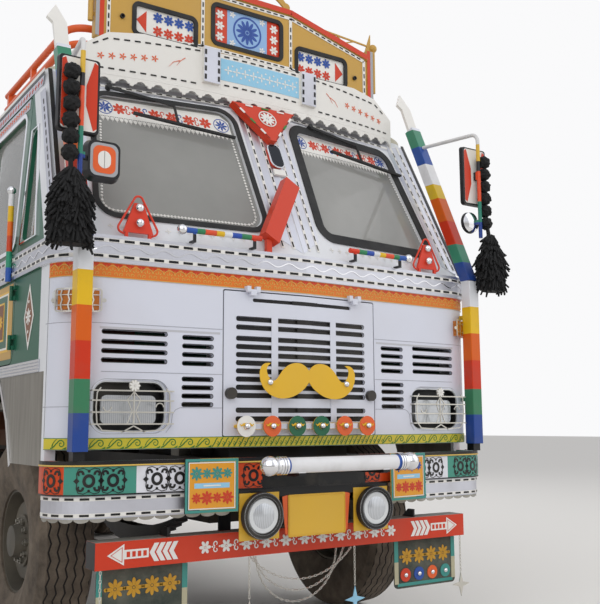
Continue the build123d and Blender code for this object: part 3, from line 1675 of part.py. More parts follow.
# Striped poles: square posts at the corners, leaning back with the windscreen, arrow-tipped
pole_x = 1128
pole_top_x = 1112
pole_size = 68
pole_foot = 995
pole_bend = 1900
pole_y = nose_y - 8
pole_top_y = nose_y + 431
pole_top = 2912
arrow_width = 104
arrow_length = 290
with BuildPart() as striped_poles:
    for side in (1, -1):
        with BuildSketch(Plane.XY.offset(pole_foot)):
            with Locations((side * pole_x, pole_y)):
                Rectangle(pole_size, pole_size)
        extrude(amount=pole_bend - pole_foot)
        lean = Vector(side * (pole_top_x - pole_x), pole_top_y - pole_y, pole_top - pole_bend)
        lean_plane = Plane(
            origin=(side * pole_x, pole_y, pole_bend - 6), x_dir=(1, 0, 0), z_dir=lean
        )
        with BuildSketch(lean_plane):
            Rectangle(pole_size, pole_size - 4)
        extrude(amount=lean.length)
        arrow_plane = Plane(
            origin=lean_plane.origin + lean.normalized() * (lean.length - 1),
            x_dir=(1, 0, 0),
            z_dir=(0, -cos(radians(23)), sin(radians(23))),
        )
        with BuildSketch(arrow_plane):
            with BuildLine():
                Polyline(
                    (-34, 0),
                    (34, 0),
                    (52, 60),
                    (40, 70),
                    (30, 190),
                    (0, arrow_length),
                    (-30, 190),
                    (-40, 70),
                    (-52, 60),
                    close=True,
                )
            make_face()
        extrude(amount=7, both=True)
        with Locations((side * pole_x, pole_y + 8, (pole_foot + bumper_top + seat_gap) / 2)):
            Box(50, 50, pole_foot - bumper_top - seat_gap)
        bracket_y = corner_centre_y - sqrt(face_corner_radius**2 - (pole_x - corner_centre_x - 12) ** 2)
        for z in (1240, 1700):
            with Locations((side * pole_x, (pole_y + bracket_y) / 2, z)):
                Box(24, bracket_y - pole_y - 2 * seat_gap, 24)
save(striped_poles, "striped_poles")

# Mirrors: a bent rod off each pole with a flat mirror and a small round one
rod_radius = 11
rod_x = 1175
rod_y = nose_y - 62
rod_top = 2735
rod_low = 2150
mirror_width = 190
mirror_height = 345
mirror_z = 2516
low_mirror_z = 2240
kerb_mirror_x = 1060
with BuildPart() as mirrors:
    for side in (1, -1):
        pole_at_top = (side * 1114, nose_y + 335.4, 2780)
        with BuildLine() as rod_path:
            FilletPolyline(
                pole_at_top,
                (side * rod_x, rod_y, rod_top + 30),
                (side * rod_x, rod_y, rod_low),
                radius=45,
            )
        with BuildSketch(Plane(origin=rod_path.line @ 0, z_dir=rod_path.line % 0)):
            Circle(rod_radius)
        sweep()
        with BuildSketch(
            Plane(origin=(side * rod_x, rod_y + 56, mirror_z), x_dir=(1, 0, 0), z_dir=(0, -1, 0))
        ):
            RectangleRounded(mirror_width, mirror_height, 20)
        extrude(amount=22, taper=12)
        with Locations((side * rod_x, rod_y + 18, mirror_z)):
            Box(20, 40, 46)
        with Locations((side * (rod_x - 8), rod_y + 18, low_mirror_z)):
            Box(26, 42, 26)
        if side > 0:
            with BuildSketch(
                Plane(
                    origin=(rod_x - 45, rod_y + 46, low_mirror_z), x_dir=(1, 0, 0), z_dir=(0, -1, 0)
                )
            ):
                Circle(62)
            extrude(amount=18, taper=20)
        else:
            with BuildSketch(
                Plane(origin=(-kerb_mirror_x, rod_y + 62, low_mirror_z), x_dir=(1, 0, 0), z_dir=(0, -1, 0))
            ):
                RectangleRounded(166, 186, 42)
            extrude(amount=40, taper=14)
            with Locations((-(rod_x + kerb_mirror_x) / 2, rod_y + 36, low_mirror_z)):
                Box(rod_x - kerb_mirror_x, 14, 18)
save(mirrors, "mirrors")

# Tassels of black yarn on the mirror rods: a string of balls and a long brush
yarn_ball_radius = 33
yarn_ball_pitch = 72
yarn_ball_count = 6
yarn_top = 2600
tassel_x = rod_x + rod_radius + yarn_ball_radius + seat_gap
tassel_y = rod_y - 38
tassel_top = 2140
tassel_low = 1812
with BuildPart() as tassels:
    for side in (1, -1):
        for index in range(yarn_ball_count):
            with Locations((side * tassel_x, rod_y, yarn_top - index * yarn_ball_pitch)):
                Sphere(yarn_ball_radius)
        with BuildSketch(Plane.XY.offset(tassel_low)):
            with Locations((side * tassel_x, tassel_y)):
                Ellipse(80, 56)
        with BuildSketch(Plane.XY.offset(2010)):
            with Locations((side * tassel_x, tassel_y)):
                Ellipse(92, 58)
        with BuildSketch(Plane.XY.offset(tassel_top)):
            with Locations((side * tassel_x, tassel_y + 10)):
                Ellipse(40, 40)
        loft(ruled=True)
        with BuildSketch(Plane.XY.offset(tassel_top - 10)):
            with Locations((side * tassel_x, rod_y - 20)):
                Circle(14)
        extrude(amount=yarn_top - (yarn_ball_count - 1) * yarn_ball_pitch - tassel_top)
save(tassels, "tassels")

# Ornaments under the windscreens: horn plates with balls and wire loops, striped rods
horn_x = 859
horn_y = nose_y + 43
with BuildPart() as belt_ornaments:
    for side in (1, -1):
        horn_plane = Plane(
            origin=(side * horn_x, horn_y, 0), x_dir=(1, 0, 0), z_dir=(0, -1, 0)
        )
        with BuildSketch(horn_plane):
            with BuildLine():
                Polyline((-72, 1956), (72, 1956), (22, 2092), (-22, 2092), close=True)
            make_face()
            for x in (-56, 56):
                with Locations((x, (belt_z + seat_gap + 1960) / 2)):
                    Rectangle(14, 1960 - belt_z - seat_gap)
        extrude(amount=-14)
        with Locations((side * horn_x, horn_y - 6, 2070), (side * horn_x, horn_y - 12, 2000)):
            Sphere(19)
        with BuildLine(Plane(origin=(side * horn_x, horn_y + 8, 0), x_dir=(1, 0, 0), z_dir=(0, -1, 0))) as loop:
            FilletPolyline((-66, 1948), (-104, 1962), (0, 2150), (104, 1962), (66, 1948), radius=22)
        with BuildSketch(Plane(origin=loop.line @ 0, z_dir=loop.line % 0)):
            Circle(5)
        sweep()
        with BuildSketch(
            Plane(origin=(side * 664, nose_y - 14, 1985), z_dir=(-side, -0.05, 0))
        ):
            Circle(13)
        extrude(amount=400)
        with Locations((side * 672, nose_y - 14, 1985)):
            Sphere(23)
        for x in (610, 300):
            stand_y = nose_y - 14 - (664 - x) * 0.05
            shelf_y = face_front_y(x) + 12
            with Locations((side * x, stand_y, (1985 + belt_z + seat_gap) / 2)):
                Box(12, 12, 1985 - belt_z - seat_gap)
            with Locations((side * x, (stand_y + shelf_y) / 2, belt_z + seat_gap + 6)):
                Box(12, shelf_y - stand_y, 12)
save(belt_ornaments, "belt_ornaments")

# Centre ornament: a red triangular box on the pillar between the windscreens
triangle_half = 198
triangle_bottom = 2590
triangle_reach = 240
triangle_depth = 40
box_foot = (-205, nose_y - 10, 1992)
box_head = (-13, nose_y + 100, 2322)
with BuildPart() as centre_ornament:
    foot = Vector(0, screen_y(0, triangle_bottom) - 0.4, triangle_bottom)
    with BuildSketch(
        Plane(
            origin=foot,
            x_dir=(1, 0, 0),
            z_dir=(0, -cos(radians(screen_tilt)), sin(radians(screen_tilt))),
        )
    ):
        with BuildLine():
            Polyline(
                (-18, 0),
                (18, 0),
                (triangle_half, triangle_reach),
                (-triangle_half, triangle_reach),
                close=True,
            )
        make_face()
    extrude(amount=triangle_depth)
    # A small round-ended mirror under it, and a slanted box standing on the belt
    with BuildSketch(
        Plane(
            origin=(0, screen_y(0, 2510) - 0.4, 2510),
            x_dir=(1, 0, 0),
            z_dir=(0, -cos(radians(screen_tilt)), sin(radians(screen_tilt))),
        )
    ):
        RectangleRounded(84, 150, 38)
    extrude(amount=16)
    strut(box_foot, box_head, 92, 52)
    with Locations((box_foot[0], box_foot[1] + 8, (box_foot[2] + belt_z + seat_gap) / 2)):
        Box(30, 22, box_foot[2] - belt_z - seat_gap)
    lug_back = screen_y(0, box_head[2] - 30) - 0.4
    with Locations((-12, (box_head[1] + lug_back) / 2, box_head[2] - 18)):
        Box(24, lug_back - box_head[1], 24)
save(centre_ornament, "centre_ornament")

# Seats behind the glass: driver's on the right, a bench on the left
seat_base_z = cab_floor_z + cab_floor_wall
with BuildPart() as seats:
    for x, width in ((-760, 520), (740, 560)):
        with Locations((x, nose_y + 1180, seat_base_z + 240)):
            Box(width, 520, 480 - 2 * seat_gap)
        with BuildSketch(Plane(origin=(x - width / 2, 0, 0), x_dir=(0, 1, 0), z_dir=(1, 0, 0))):
            with BuildLine():
                Polyline(
                    (nose_y + 1430, seat_base_z + 478),
                    (nose_y + 1550, seat_base_z + 478),
                    (nose_y + 1640, seat_base_z + 1080),
                    (nose_y + 1540, seat_base_z + 1080),
                    close=True,
                )
            make_face()
        extrude(amount=width)
save(seats, "seats")

# Dashboard across the cab with the steering column and wheel
steering_x = -760
steering_radius = 235
dashboard_half = cab_half - cab_wall - seat_gap
with BuildPart() as dashboard:
    with BuildSketch(Plane(origin=(-dashboard_half, 0, 0), x_dir=(0, 1, 0), z_dir=(1, 0, 0))):
        with BuildLine():
            Polyline(
                (nose_y + 250, 1620),
                (nose_y + 560, 1620),
                (nose_y + 560, 1800),
                (nose_y + 470, 1892),
                (nose_y + 250, 1892),
                close=True,
            )
        make_face()
    extrude(amount=2 * dashboard_half)
    column_dir = Vector(0, 0.5, 0.866)
    wheel_centre = Vector(steering_x, nose_y + 720, 2010)
    with BuildSketch(Plane(origin=wheel_centre - column_dir * 360, z_dir=column_dir)):
        Circle(28)
    extrude(amount=370)
    with BuildSketch(Plane(origin=wheel_centre - column_dir * 20, z_dir=column_dir)):
        Circle(steering_radius)
        Circle(steering_radius - 32, mode=Mode.SUBTRACT)
        Rectangle(2 * steering_radius - 20, 34)
        Rectangle(34, 2 * steering_radius - 20)
        Circle(70)
    extrude(amount=28)
save(dashboard, "dashboard")

# Load bed: floor on cross bearers over the frame, with long sills
bearer_count = int(body_length // bearer_pitch)
sill_height = bed_z - bed_thickness - bearer_height - frame_top
floor_sheet = 5
floor_margin = wall_thickness + 4
with BuildPart() as load_bed:
    with Locations((0, bed_middle_y, bed_z - bed_thickness / 2)):
        Box(2 * bed_half, body_length, bed_thickness)
    with Locations((0, bed_middle_y, bed_z + floor_sheet / 2)):
        Box(2 * (bed_half - floor_margin), body_length - 2 * floor_margin, floor_sheet)
    with BuildSketch(Plane.XY.offset(bed_z - bed_thickness - bearer_height)):
        with Locations((0, bed_middle_y)):
            with GridLocations(1, bearer_pitch, 1, bearer_count):
                Rectangle(2 * bed_half - 40, 75)
    extrude(amount=bearer_height)
    for side in (1, -1):
        with Locations(
            (
                side * (rail_outer - rail_flange / 2),
                (body_front_y + frame_back_y) / 2,
                frame_top + sill_height / 2,
            )
        ):
            Box(rail_flange - 2, frame_back_y - body_front_y, sill_height)
    for x in gate_hinges:
        for side in (1, -1):
            bracket_x = x + side * gate_bracket_pitch / 2 - gate_bracket / 2
            with BuildSketch(Plane(origin=(bracket_x, 0, 0), x_dir=(0, 1, 0), z_dir=(1, 0, 0))):
                with BuildLine():
                    Polyline(
                        (body_back_y - 4, bed_z - bed_thickness),
                        (gate_pin_y, gate_pin_z - gate_eye_radius),
                        (gate_pin_y, gate_pin_z),
                        (gate_pin_y - gate_eye_radius, gate_pin_z),
                        (body_back_y - 4, bed_z),
                        close=True,
                    )
                make_face()
                with Locations((gate_pin_y, gate_pin_z)):
                    Circle(gate_eye_radius)
                    Circle(gate_pin_radius + pin_gap, mode=Mode.SUBTRACT)
            extrude(amount=gate_bracket)
save(load_bed, "load_bed")

# Side walls and headboard: steel-framed boards with ribs outside
post_pitch = 700
post_width = 80
post_depth = 40
rib_rows = (1650, 2100, 2550)
with BuildPart() as load_walls:
    for side in (1, -1):
        wall_x = side * (bed_half - wall_thickness / 2)
        with Locations((wall_x, bed_middle_y, (bed_z + wall_top) / 2)):
            Box(wall_thickness, body_length, wall_top - bed_z)
        with BuildSketch(Plane(origin=(side * bed_half, 0, 0), x_dir=(0, 1, 0), z_dir=(1, 0, 0))):
            with Locations((bed_middle_y, (bed_z + wall_top) / 2)):
                with GridLocations(post_pitch, 1, int(body_length // post_pitch) + 1, 1):
                    Rectangle(post_width, wall_top - bed_z)
            for z in rib_rows:
                with Locations((bed_middle_y, z)):
                    Rectangle(body_length, 60)
            for z in (bed_z + 40, wall_top - 40):
                with Locations((bed_middle_y, z)):
                    Rectangle(body_length, 80)
        extrude(amount=post_depth * side)
    with Locations((0, body_front_y + wall_thickness / 2, (bed_z + wall_top) / 2)):
        Box(2 * (bed_half - 1), wall_thickness, wall_top - bed_z)
    with Locations((0, body_back_y - 40, wall_top - 55)):
        Box(2 * (bed_half - 1), 60, 110)
save(load_walls, "load_walls")

# Tailgate: a framed board hinged along its foot, on pins through three pairs of brackets
with BuildPart() as tailgate:
    with Locations((0, body_back_y + gate_gap + wall_thickness / 2, (gate_bottom + gate_top) / 2)):
        Box(2 * gate_half, wall_thickness, gate_top - gate_bottom)
    with BuildSketch(
        Plane(origin=(0, gate_out_y - gate_rib, 0), x_dir=(1, 0, 0), z_dir=(0, -1, 0))
    ):
        with Locations((0, (gate_bottom + gate_top) / 2)):
            with GridLocations(480, 1, 5, 1):
                Rectangle(70, gate_top - gate_bottom)
        for z in (gate_bottom + 40, gate_top - 40):
            with Locations((0, z)):
                Rectangle(2 * gate_half, 80)
    extrude(amount=-gate_rib)
    for x in gate_hinges:
        with Locations((x, gate_pin_y, gate_pin_z)):
            Cylinder(gate_pin_radius, gate_bracket_pitch + 40, rotation=(0, 90, 0))
            Cylinder(gate_eye_radius, gate_bracket_pitch - 30, rotation=(0, 90, 0))
        with BuildSketch(Plane(origin=(x - 26, 0, 0), x_dir=(0, 1, 0), z_dir=(1, 0, 0))):
            with BuildLine():
                Polyline(
                    (gate_out_y - 4, gate_bottom + 6),
                    (gate_pin_y, gate_pin_z - gate_eye_radius + 4),
                    (gate_pin_y + gate_eye_radius - 4, gate_pin_z),
                    (gate_out_y - 4, gate_bottom + 130),
                    close=True,
                )
            make_face()
        extrude(amount=52)
save(tailgate, "tailgate")

# Roof rack over the cab: bent tubes on feet, tied to the headboard
rack_radius = 20
rack_z = 3210
rack_half = 960
rack_front_y = nose_y + 760
rack_back_y = body_front_y - rack_radius - seat_gap
roof_radius = (roof_edge_half**2 + roof_rise**2) / (2 * roof_rise)
roof_drop = roof_radius - sqrt(roof_radius**2 - (rack_half - 15) ** 2)
foot_z = header_z + roof_rise - roof_drop + seat_gap
with BuildPart() as roof_rack:
    for z in (rack_z, rack_z - 90):
        with BuildLine() as rack_path:
            FilletPolyline(
                (-rack_half, rack_back_y, z),
                (-rack_half, rack_front_y, z),
                (rack_half, rack_front_y, z),
                (rack_half, rack_back_y, z),
                radius=120,
            )
        with BuildSketch(Plane(origin=rack_path.line @ 0, z_dir=rack_path.line % 0)):
            Circle(rack_radius)
        sweep()
    for side in (1, -1):
        for y in (rack_front_y + 200, (rack_front_y + rack_back_y) / 2 + 60, rack_back_y - 60):
            with Locations((side * rack_half, y, (rack_z + foot_z) / 2)):
                Box(30, 30, rack_z - foot_z)
    with Locations((0, rack_back_y - 10, rack_z)):
        Box(2 * rack_half, 30, 30)
save(roof_rack, "roof_rack")

# Rear under-run bar and the tail lamps on it
under_run_z = 620
rear_bar_y = frame_back_y - 40
with BuildPart() as rear_bumper:
    with Locations((0, rear_bar_y, under_run_z)):
        Box(2150, 80, 120)
    for side in (1, -1):
        with Locations((side * (rail_outer - rail_flange / 2), rear_bar_y, (under_run_z + frame_bottom) / 2)):
            Box(60, 60, frame_bottom - under_run_z - 2 * seat_gap)
save(rear_bumper, "rear_bumper")

with BuildPart() as tail_lamps:
    for side in (1, -1):
        with BuildSketch(
            Plane(
                origin=(side * 900, rear_bar_y + 40 + seat_gap, under_run_z),
                x_dir=(1, 0, 0),
                z_dir=(0, 1, 0),
            )
        ):
            RectangleRounded(300, 96, 12)
        extrude(amount=46, taper=8)
save(tail_lamps, "tail_lamps")
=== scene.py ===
import contextlib
import math
import random

import bmesh
import bpy
from mathutils import Matrix, Vector


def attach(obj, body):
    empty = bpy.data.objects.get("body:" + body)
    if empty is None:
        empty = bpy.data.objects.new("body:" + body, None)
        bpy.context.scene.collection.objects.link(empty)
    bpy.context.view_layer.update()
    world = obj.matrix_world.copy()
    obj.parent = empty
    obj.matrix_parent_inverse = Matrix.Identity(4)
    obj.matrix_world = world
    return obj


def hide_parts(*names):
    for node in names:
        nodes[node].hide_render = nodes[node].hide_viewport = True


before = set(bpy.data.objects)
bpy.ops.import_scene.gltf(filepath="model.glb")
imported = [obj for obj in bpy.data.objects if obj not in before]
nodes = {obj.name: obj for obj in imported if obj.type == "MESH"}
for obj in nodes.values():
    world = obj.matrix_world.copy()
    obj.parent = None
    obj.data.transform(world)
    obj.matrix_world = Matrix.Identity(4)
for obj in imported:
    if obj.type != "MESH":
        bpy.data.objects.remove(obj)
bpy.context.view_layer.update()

scene = bpy.context.scene
sides = (1, -1)
hands = ((1, "left"), (-1, "right"))

# Places from the truck's own drawing, in metres
nose = -3.320
cab_half = 1.210
roof_half = 1.150
belt_top = 1.930
header = 2.860
flank_step = 0.006
side_tilt = (cab_half - flank_step - roof_half) / (header - belt_top)
screen_foot = nose - 0.008
screen_sweep = 0.104
screen_rake = 0.4877
screen_tilt = math.atan(screen_rake)
front_axle = -2.285
rear_axle = 1.940
hub_height = 0.527
body_side = 1.260

# The camera stands where the photograph was taken from
photo_height = 604
focal_length_in_pixels = 870.1
camera_data = bpy.data.cameras.new("camera")
camera = bpy.data.objects.new("camera", camera_data)
scene.collection.objects.link(camera)
camera_data.sensor_width = 36
camera_data.lens = focal_length_in_pixels / photo_height * camera_data.sensor_width
camera_data.clip_end = 200
camera.matrix_world = (
    Matrix.Translation((-2.368, -6.859, 1.101))
    @ Matrix.Rotation(math.radians(-33.55), 4, "Z")
    @ Matrix.Rotation(math.radians(90 + 8.04), 4, "X")
    @ Matrix.Rotation(math.radians(-0.27), 4, "Z")
)
scene.camera = camera
scene.view_settings.view_transform = "Standard"


def linear(hex_colour):
    """A linear colour with alpha from an sRGB hex value."""
    channels = [int(hex_colour[start : start + 2], 16) / 255 for start in (1, 3, 5)]
    curved = [value / 12.92 if value <= 0.04045 else ((value + 0.055) / 1.055) ** 2.4 for value in channels]
    return (*curved, 1)


def connect(node, feeds):
    """Sets a node's sockets to values, hex colours, outputs, or the first output in use of other nodes."""
    for socket, value in feeds.items():
        if isinstance(value, bpy.types.Node):
            value = next(output for output in value.outputs if output.enabled)
        if isinstance(value, bpy.types.NodeSocket):
            node.id_data.links.new(value, node.inputs[socket])
        else:
            node.inputs[socket].default_value = linear(value) if isinstance(value, str) else value


def add(tree, kind, feeds=None, **settings):
    """Adds a shader node with its settings and links."""
    made = tree.nodes.new(f"ShaderNode{kind}")
    for key, value in settings.items():
        setattr(made, key, value)
    connect(made, feeds or {})
    return made


def begin(name, **sockets):
    """A new material with its shader's sockets set, its tree, its shader and the object coordinates."""
    material = bpy.data.materials.new(name)
    material.use_nodes = True
    shader = material.node_tree.nodes["Principled BSDF"]
    connect(shader, {socket.replace("_", " "): value for socket, value in sockets.items()})
    return material, material.node_tree, shader, add(material.node_tree, "TexCoord").outputs["Object"]


# A pattern's scale counts its features to the metre, so 60 stands for features about 17 mm wide
def enamel(name, colour, roughness=0.3, dust=0.12, dust_colour="#9C9078"):
    """Brushed-on sign-painter's enamel: glossy, a little uneven, with road dust lying in soft patches."""
    material, tree, shader, place = begin(name, Roughness=roughness, Coat_Weight=0.05, Specular_IOR_Level=0.3)
    patches = add(tree, "TexNoise", {"Vector": place, "Scale": 2.3, "Detail": 6.0})
    film = add(tree, "MapRange", {"Value": patches, "From Min": 0.42, "From Max": 0.78, "To Max": dust})
    strokes = add(tree, "TexNoise", {"Vector": place, "Scale": 60.0, "Detail": 3.0})
    connect(shader, {
        "Base Color": add(tree, "Mix", {0: film, "A": colour, "B": dust_colour}, data_type="RGBA"),
        "Normal": add(tree, "Bump", {"Height": strokes, "Strength": 0.04, "Distance": 0.002}),
    })
    return material


def banded(name, axis, first, bands, mirrored=False):
    """Enamel in hard bands along one axis, each given as where it ends in metres and its colour."""
    material, tree, shader, place = begin(name, Roughness=0.32, Coat_Weight=0.05, Specular_IOR_Level=0.3)
    part = add(tree, "SeparateXYZ", {0: place}).outputs[axis]
    if mirrored:
        part = add(tree, "Math", {0: part}, operation="ABSOLUTE")
    last = bands[-1][0]
    along = add(tree, "MapRange", {"Value": part, "From Min": first, "From Max": last})
    ramp = add(tree, "ValToRGB", {"Fac": along})
    ramp.color_ramp.interpolation = "CONSTANT"
    stops = ramp.color_ramp.elements
    stops.remove(stops[1])
    foot = first
    for index, (end, colour) in enumerate(bands):
        stop = stops.new((foot - first) / (last - first)) if index else stops[0]
        stop.color = linear(colour)
        foot = end
    grime = add(tree, "TexNoise", {"Vector": place, "Scale": 9.0, "Detail": 8.0})
    wear = add(tree, "MapRange", {"Value": grime, "From Min": 0.5, "From Max": 0.8, "To Max": 0.22})
    connect(shader, {"Base Color": add(tree, "Mix", {0: wear, "A": ramp, "B": "#6E675A"}, data_type="RGBA")})
    return material


def metal(name, colour, roughness, grain=0.0, emboss=0.0, soil=0.0):
    """Bare metal sheet or plating: fine brushed grain, embossed cells 11 mm wide, and a film of road soil."""
    material, tree, shader, place = begin(name, Metallic=1.0, Base_Color=colour, Roughness=roughness)
    if soil:
        spots = add(tree, "TexNoise", {"Vector": place, "Scale": 5.0, "Detail": 7.0})
        patches = {"Value": spots, "From Min": 0.4, "From Max": 0.75}
        film = add(tree, "MapRange", {**patches, "To Max": soil})
        soiled_roughness = roughness + soil * 0.6
        connect(shader, {
            "Base Color": add(tree, "Mix", {0: film, "A": colour, "B": "#7D7566"}, data_type="RGBA"),
            "Roughness": add(tree, "MapRange", {**patches, "To Min": roughness, "To Max": soiled_roughness}),
        })
    if grain:
        stretched = add(tree, "Mapping", {"Vector": place, "Scale": (8.0, 8.0, 400.0)})
        height = add(tree, "TexNoise", {"Vector": stretched, "Scale": 4.0})
    if emboss:
        height = add(tree, "TexVoronoi", {"Vector": place, "Scale": 90.0}, feature="SMOOTH_F1")
    if grain or emboss:
        relief = {"Height": height, "Strength": grain or emboss, "Distance": 0.0015}
        connect(shader, {"Normal": add(tree, "Bump", relief)})
    return material


def dusty_rubber(name, colour, dust_colour, dust, scale=7.0):
    """Moulded rubber, matt, dusty in broad patches; its pits are 6 mm wide, coarser than real, to show."""
    material, tree, shader, place = begin(name, Roughness=0.85)
    spots = add(tree, "TexNoise", {"Vector": place, "Scale": scale, "Detail": 9.0, "Roughness": 0.7})
    film = add(tree, "MapRange", {"Value": spots, "From Min": 0.3, "From Max": 0.75, "To Max": dust})
    pits = add(tree, "TexNoise", {"Vector": place, "Scale": 160.0, "Detail": 4.0})
    connect(shader, {
        "Base Color": add(tree, "Mix", {0: film, "A": colour, "B": dust_colour}, data_type="RGBA"),
        "Normal": add(tree, "Bump", {"Height": pits, "Strength": 0.3, "Distance": 0.002}),
    })
    return material


def treaded(name, axle):
    """Dusty tyre rubber with zigzag grooves moulded round its tread, worked out from the axle's place; the
    grooves are painted near-black as painted shade.
    """
    teeth, swing, rib_half, groove_half, tread_radius = 42, 0.16, 0.0205, 0.0042, 0.5165
    material, tree, shader, place = begin(name, Roughness=0.9)
    parts = add(tree, "SeparateXYZ", {0: place}).outputs
    back = add(tree, "Math", {0: parts["Y"], 1: axle}, operation="SUBTRACT")
    rise = add(tree, "Math", {0: parts["Z"], 1: hub_height}, operation="SUBTRACT")
    turn = add(tree, "Math", {0: rise, 1: back}, operation="ARCTAN2")
    zigzag = add(tree, "Math", {0: turn, 1: math.pi / teeth}, operation="PINGPONG")
    across = add(tree, "Math", {0: parts["X"]}, operation="ABSOLUTE")
    swung = add(tree, "Math", {0: zigzag, 1: swing, 2: across}, operation="MULTIPLY_ADD")
    ribs = add(tree, "Math", {0: swung, 1: rib_half}, operation="PINGPONG")
    groove = add(tree, "Math", {0: ribs, 1: groove_half}, operation="LESS_THAN")
    wall = add(tree, "CombineXYZ", {"X": back, "Y": rise})
    reach = add(tree, "VectorMath", {0: wall}, operation="LENGTH")
    on_tread = add(tree, "Math", {0: reach, 1: tread_radius}, operation="GREATER_THAN")
    # The groove mask carves the tread's bump and paints the grooves near-black as painted shade
    shaded_groove = add(tree, "Math", {0: on_tread, 1: groove}, operation="MULTIPLY")
    spots = add(tree, "TexNoise", {"Vector": place, "Scale": 6.0, "Detail": 9.0, "Roughness": 0.7})
    film = add(tree, "MapRange", {"Value": spots, "From Min": 0.3, "From Max": 0.75, "To Max": 0.8})
    dusty = add(tree, "Mix", {0: film, "A": "#403830", "B": "#8A7C6C"}, data_type="RGBA")
    depth = add(tree, "Math", {0: 1.0, 1: shaded_groove}, operation="SUBTRACT")
    connect(shader, {
        "Base Color": add(tree, "Mix", {0: shaded_groove, "A": dusty, "B": "#16120F"}, data_type="RGBA"),
        "Normal": add(tree, "Bump", {"Height": depth, "Strength": 0.6, "Distance": 0.006}),
    })
    return material


def masked(material, colour, *limits):
    """Gives part of a material another colour, where every limit (axis, comparison, place) holds."""
    tree = material.node_tree
    shader = tree.nodes["Principled BSDF"]
    parts = add(tree, "SeparateXYZ", {0: add(tree, "TexCoord").outputs["Object"]}).outputs
    held = 1.0
    for axis, comparison, edge in limits:
        test = add(tree, "Math", {0: parts[axis], 1: edge}, operation=comparison)
        held = add(tree, "Math", {0: test, 1: held}, operation="MULTIPLY")
    under = shader.inputs["Base Color"].links[0].from_socket
    connect(shader, {"Base Color": add(tree, "Mix", {0: held, "A": under, "B": colour}, data_type="RGBA")})
    return material


white_enamel = enamel("white_cab_enamel", "#D6D9E5", 0.25, 0.10)
cream_enamel = enamel("white_sign_enamel", "#E6E4DF", 0.3, 0.08)
green_enamel = enamel("green_cab_enamel", "#1F5B45", 0.32, 0.22)
teal_enamel = enamel("teal_sign_enamel", "#3F8E86", 0.3, 0.08)
red_enamel = enamel("red_board_enamel", "#CC3C20", 0.32, 0.12)
orange_enamel = enamel("orange_sign_enamel", "#E2622E", 0.32, 0.10)
ochre_enamel = enamel("ochre_board_enamel", "#C39A4A", 0.36, 0.15)
yellow_enamel = enamel("yellow_sign_enamel", "#E3B32A", 0.3, 0.08)
blue_enamel = enamel("blue_sign_enamel", "#2B4F9E", 0.3, 0.08)
sky_enamel = enamel("light_blue_sign_enamel", "#93C8E4", 0.3, 0.08)
black_enamel = enamel("black_line_enamel", "#17171A", 0.35, 0.10)
leaf_enamel = enamel("leaf_green_line_enamel", "#3C7A35", 0.35, 0.06)
brown_enamel = enamel("brown_field_enamel", "#7A4A2C", 0.4, 0.2)
grey_enamel = enamel("grey_post_enamel", "#A4A6AB", 0.35, 0.12)
chassis_enamel = enamel("black_chassis_enamel", "#1D1D1F", 0.5, 0.45, "#6B6356")
wheel_enamel = enamel("dusty_wheel_enamel", "#4A4740", 0.6, 0.6, "#8A8070")
bed_enamel = enamel("red_oxide_bed_enamel", "#5B3423", 0.55, 0.4)
roof_enamel = enamel("cream_roof_enamel", "#C9C4B2", 0.4, 0.3)
scroll_enamel = enamel("yellow_scroll_enamel", "#D0C03A", 0.32, 0.10)
gold_enamel = enamel("gold_line_enamel", "#D8B45A", 0.3, 0.05)
seam_shadow = enamel("panel_joint_shadow", "#9EA0AA", 0.5, 0.05)
disc_green = enamel("green_disc_enamel", "#1F6446", 0.3, 0.08)
dark_cap = enamel("dark_latch_enamel", "#33302F", 0.35, 0.2)
lamp_black = enamel("black_lamp_recess_enamel", "#1A1A1D", 0.4, 0.15)
sign_yellow = enamel("yellow_orange_sign_enamel", "#E09A2B", 0.32, 0.1)
edge_grey = enamel("dusty_grey_board_edge", "#A7A49C", 0.6, 0.4)
dusty_cream = enamel("dusty_cream_flap_paint", "#B7B296", 0.6, 0.4)
flap_gold = enamel("faded_gold_flap_paint", "#C0902C", 0.6, 0.15)
palmette_orange = enamel("orange_palmette_enamel", "#E07A2C", 0.32, 0.08)
pale_blue_enamel = enamel("pale_blue_field_enamel", "#8FB3DC", 0.3, 0.08)
fold_shadow = enamel("panel_fold_shadow", "#BDBEC4", 0.4, 0.05)

chrome = metal("chrome_plating", "#E8E8EA", 0.08)
stainless = metal("embossed_stainless_sheet", "#CFD0D8", 0.38, emboss=0.25, soil=0.15)
plain_stainless = metal("brushed_stainless_sheet", "#CDCED6", 0.42, grain=0.15, soil=0.2)
dull_stainless = metal("dusty_stainless_sheet", "#A9A69E", 0.38, grain=0.2, soil=0.7)
wire_metal = metal("guard_wire_plating", "#D2CFC6", 0.3, soil=0.2)
cast_iron = metal("cast_iron_block", "#4A4A4C", 0.7, soil=0.8)

front_tyre_rubber = treaded("dusty_front_tyre_rubber", front_axle)
rear_tyre_rubber = treaded("dusty_rear_tyre_rubber", rear_axle)
flap_rubber = dusty_rubber("rubber_flap", "#2E3833", "#7C7A6C", 0.6)
gasket_rubber = dusty_rubber("black_window_rubber", "#1B1C1E", "#5A5A58", 0.3)
yarn = dusty_rubber("black_wool_yarn", "#0B0B0C", "#151516", 0.4, 60.0)
seat_cloth = dusty_rubber("woven_seat_cloth", "#5B2A25", "#7A4A3C", 0.5, 90.0)
dash_plastic = dusty_rubber("grained_dashboard_plastic", "#2A2826", "#5E584E", 0.5, 40.0)

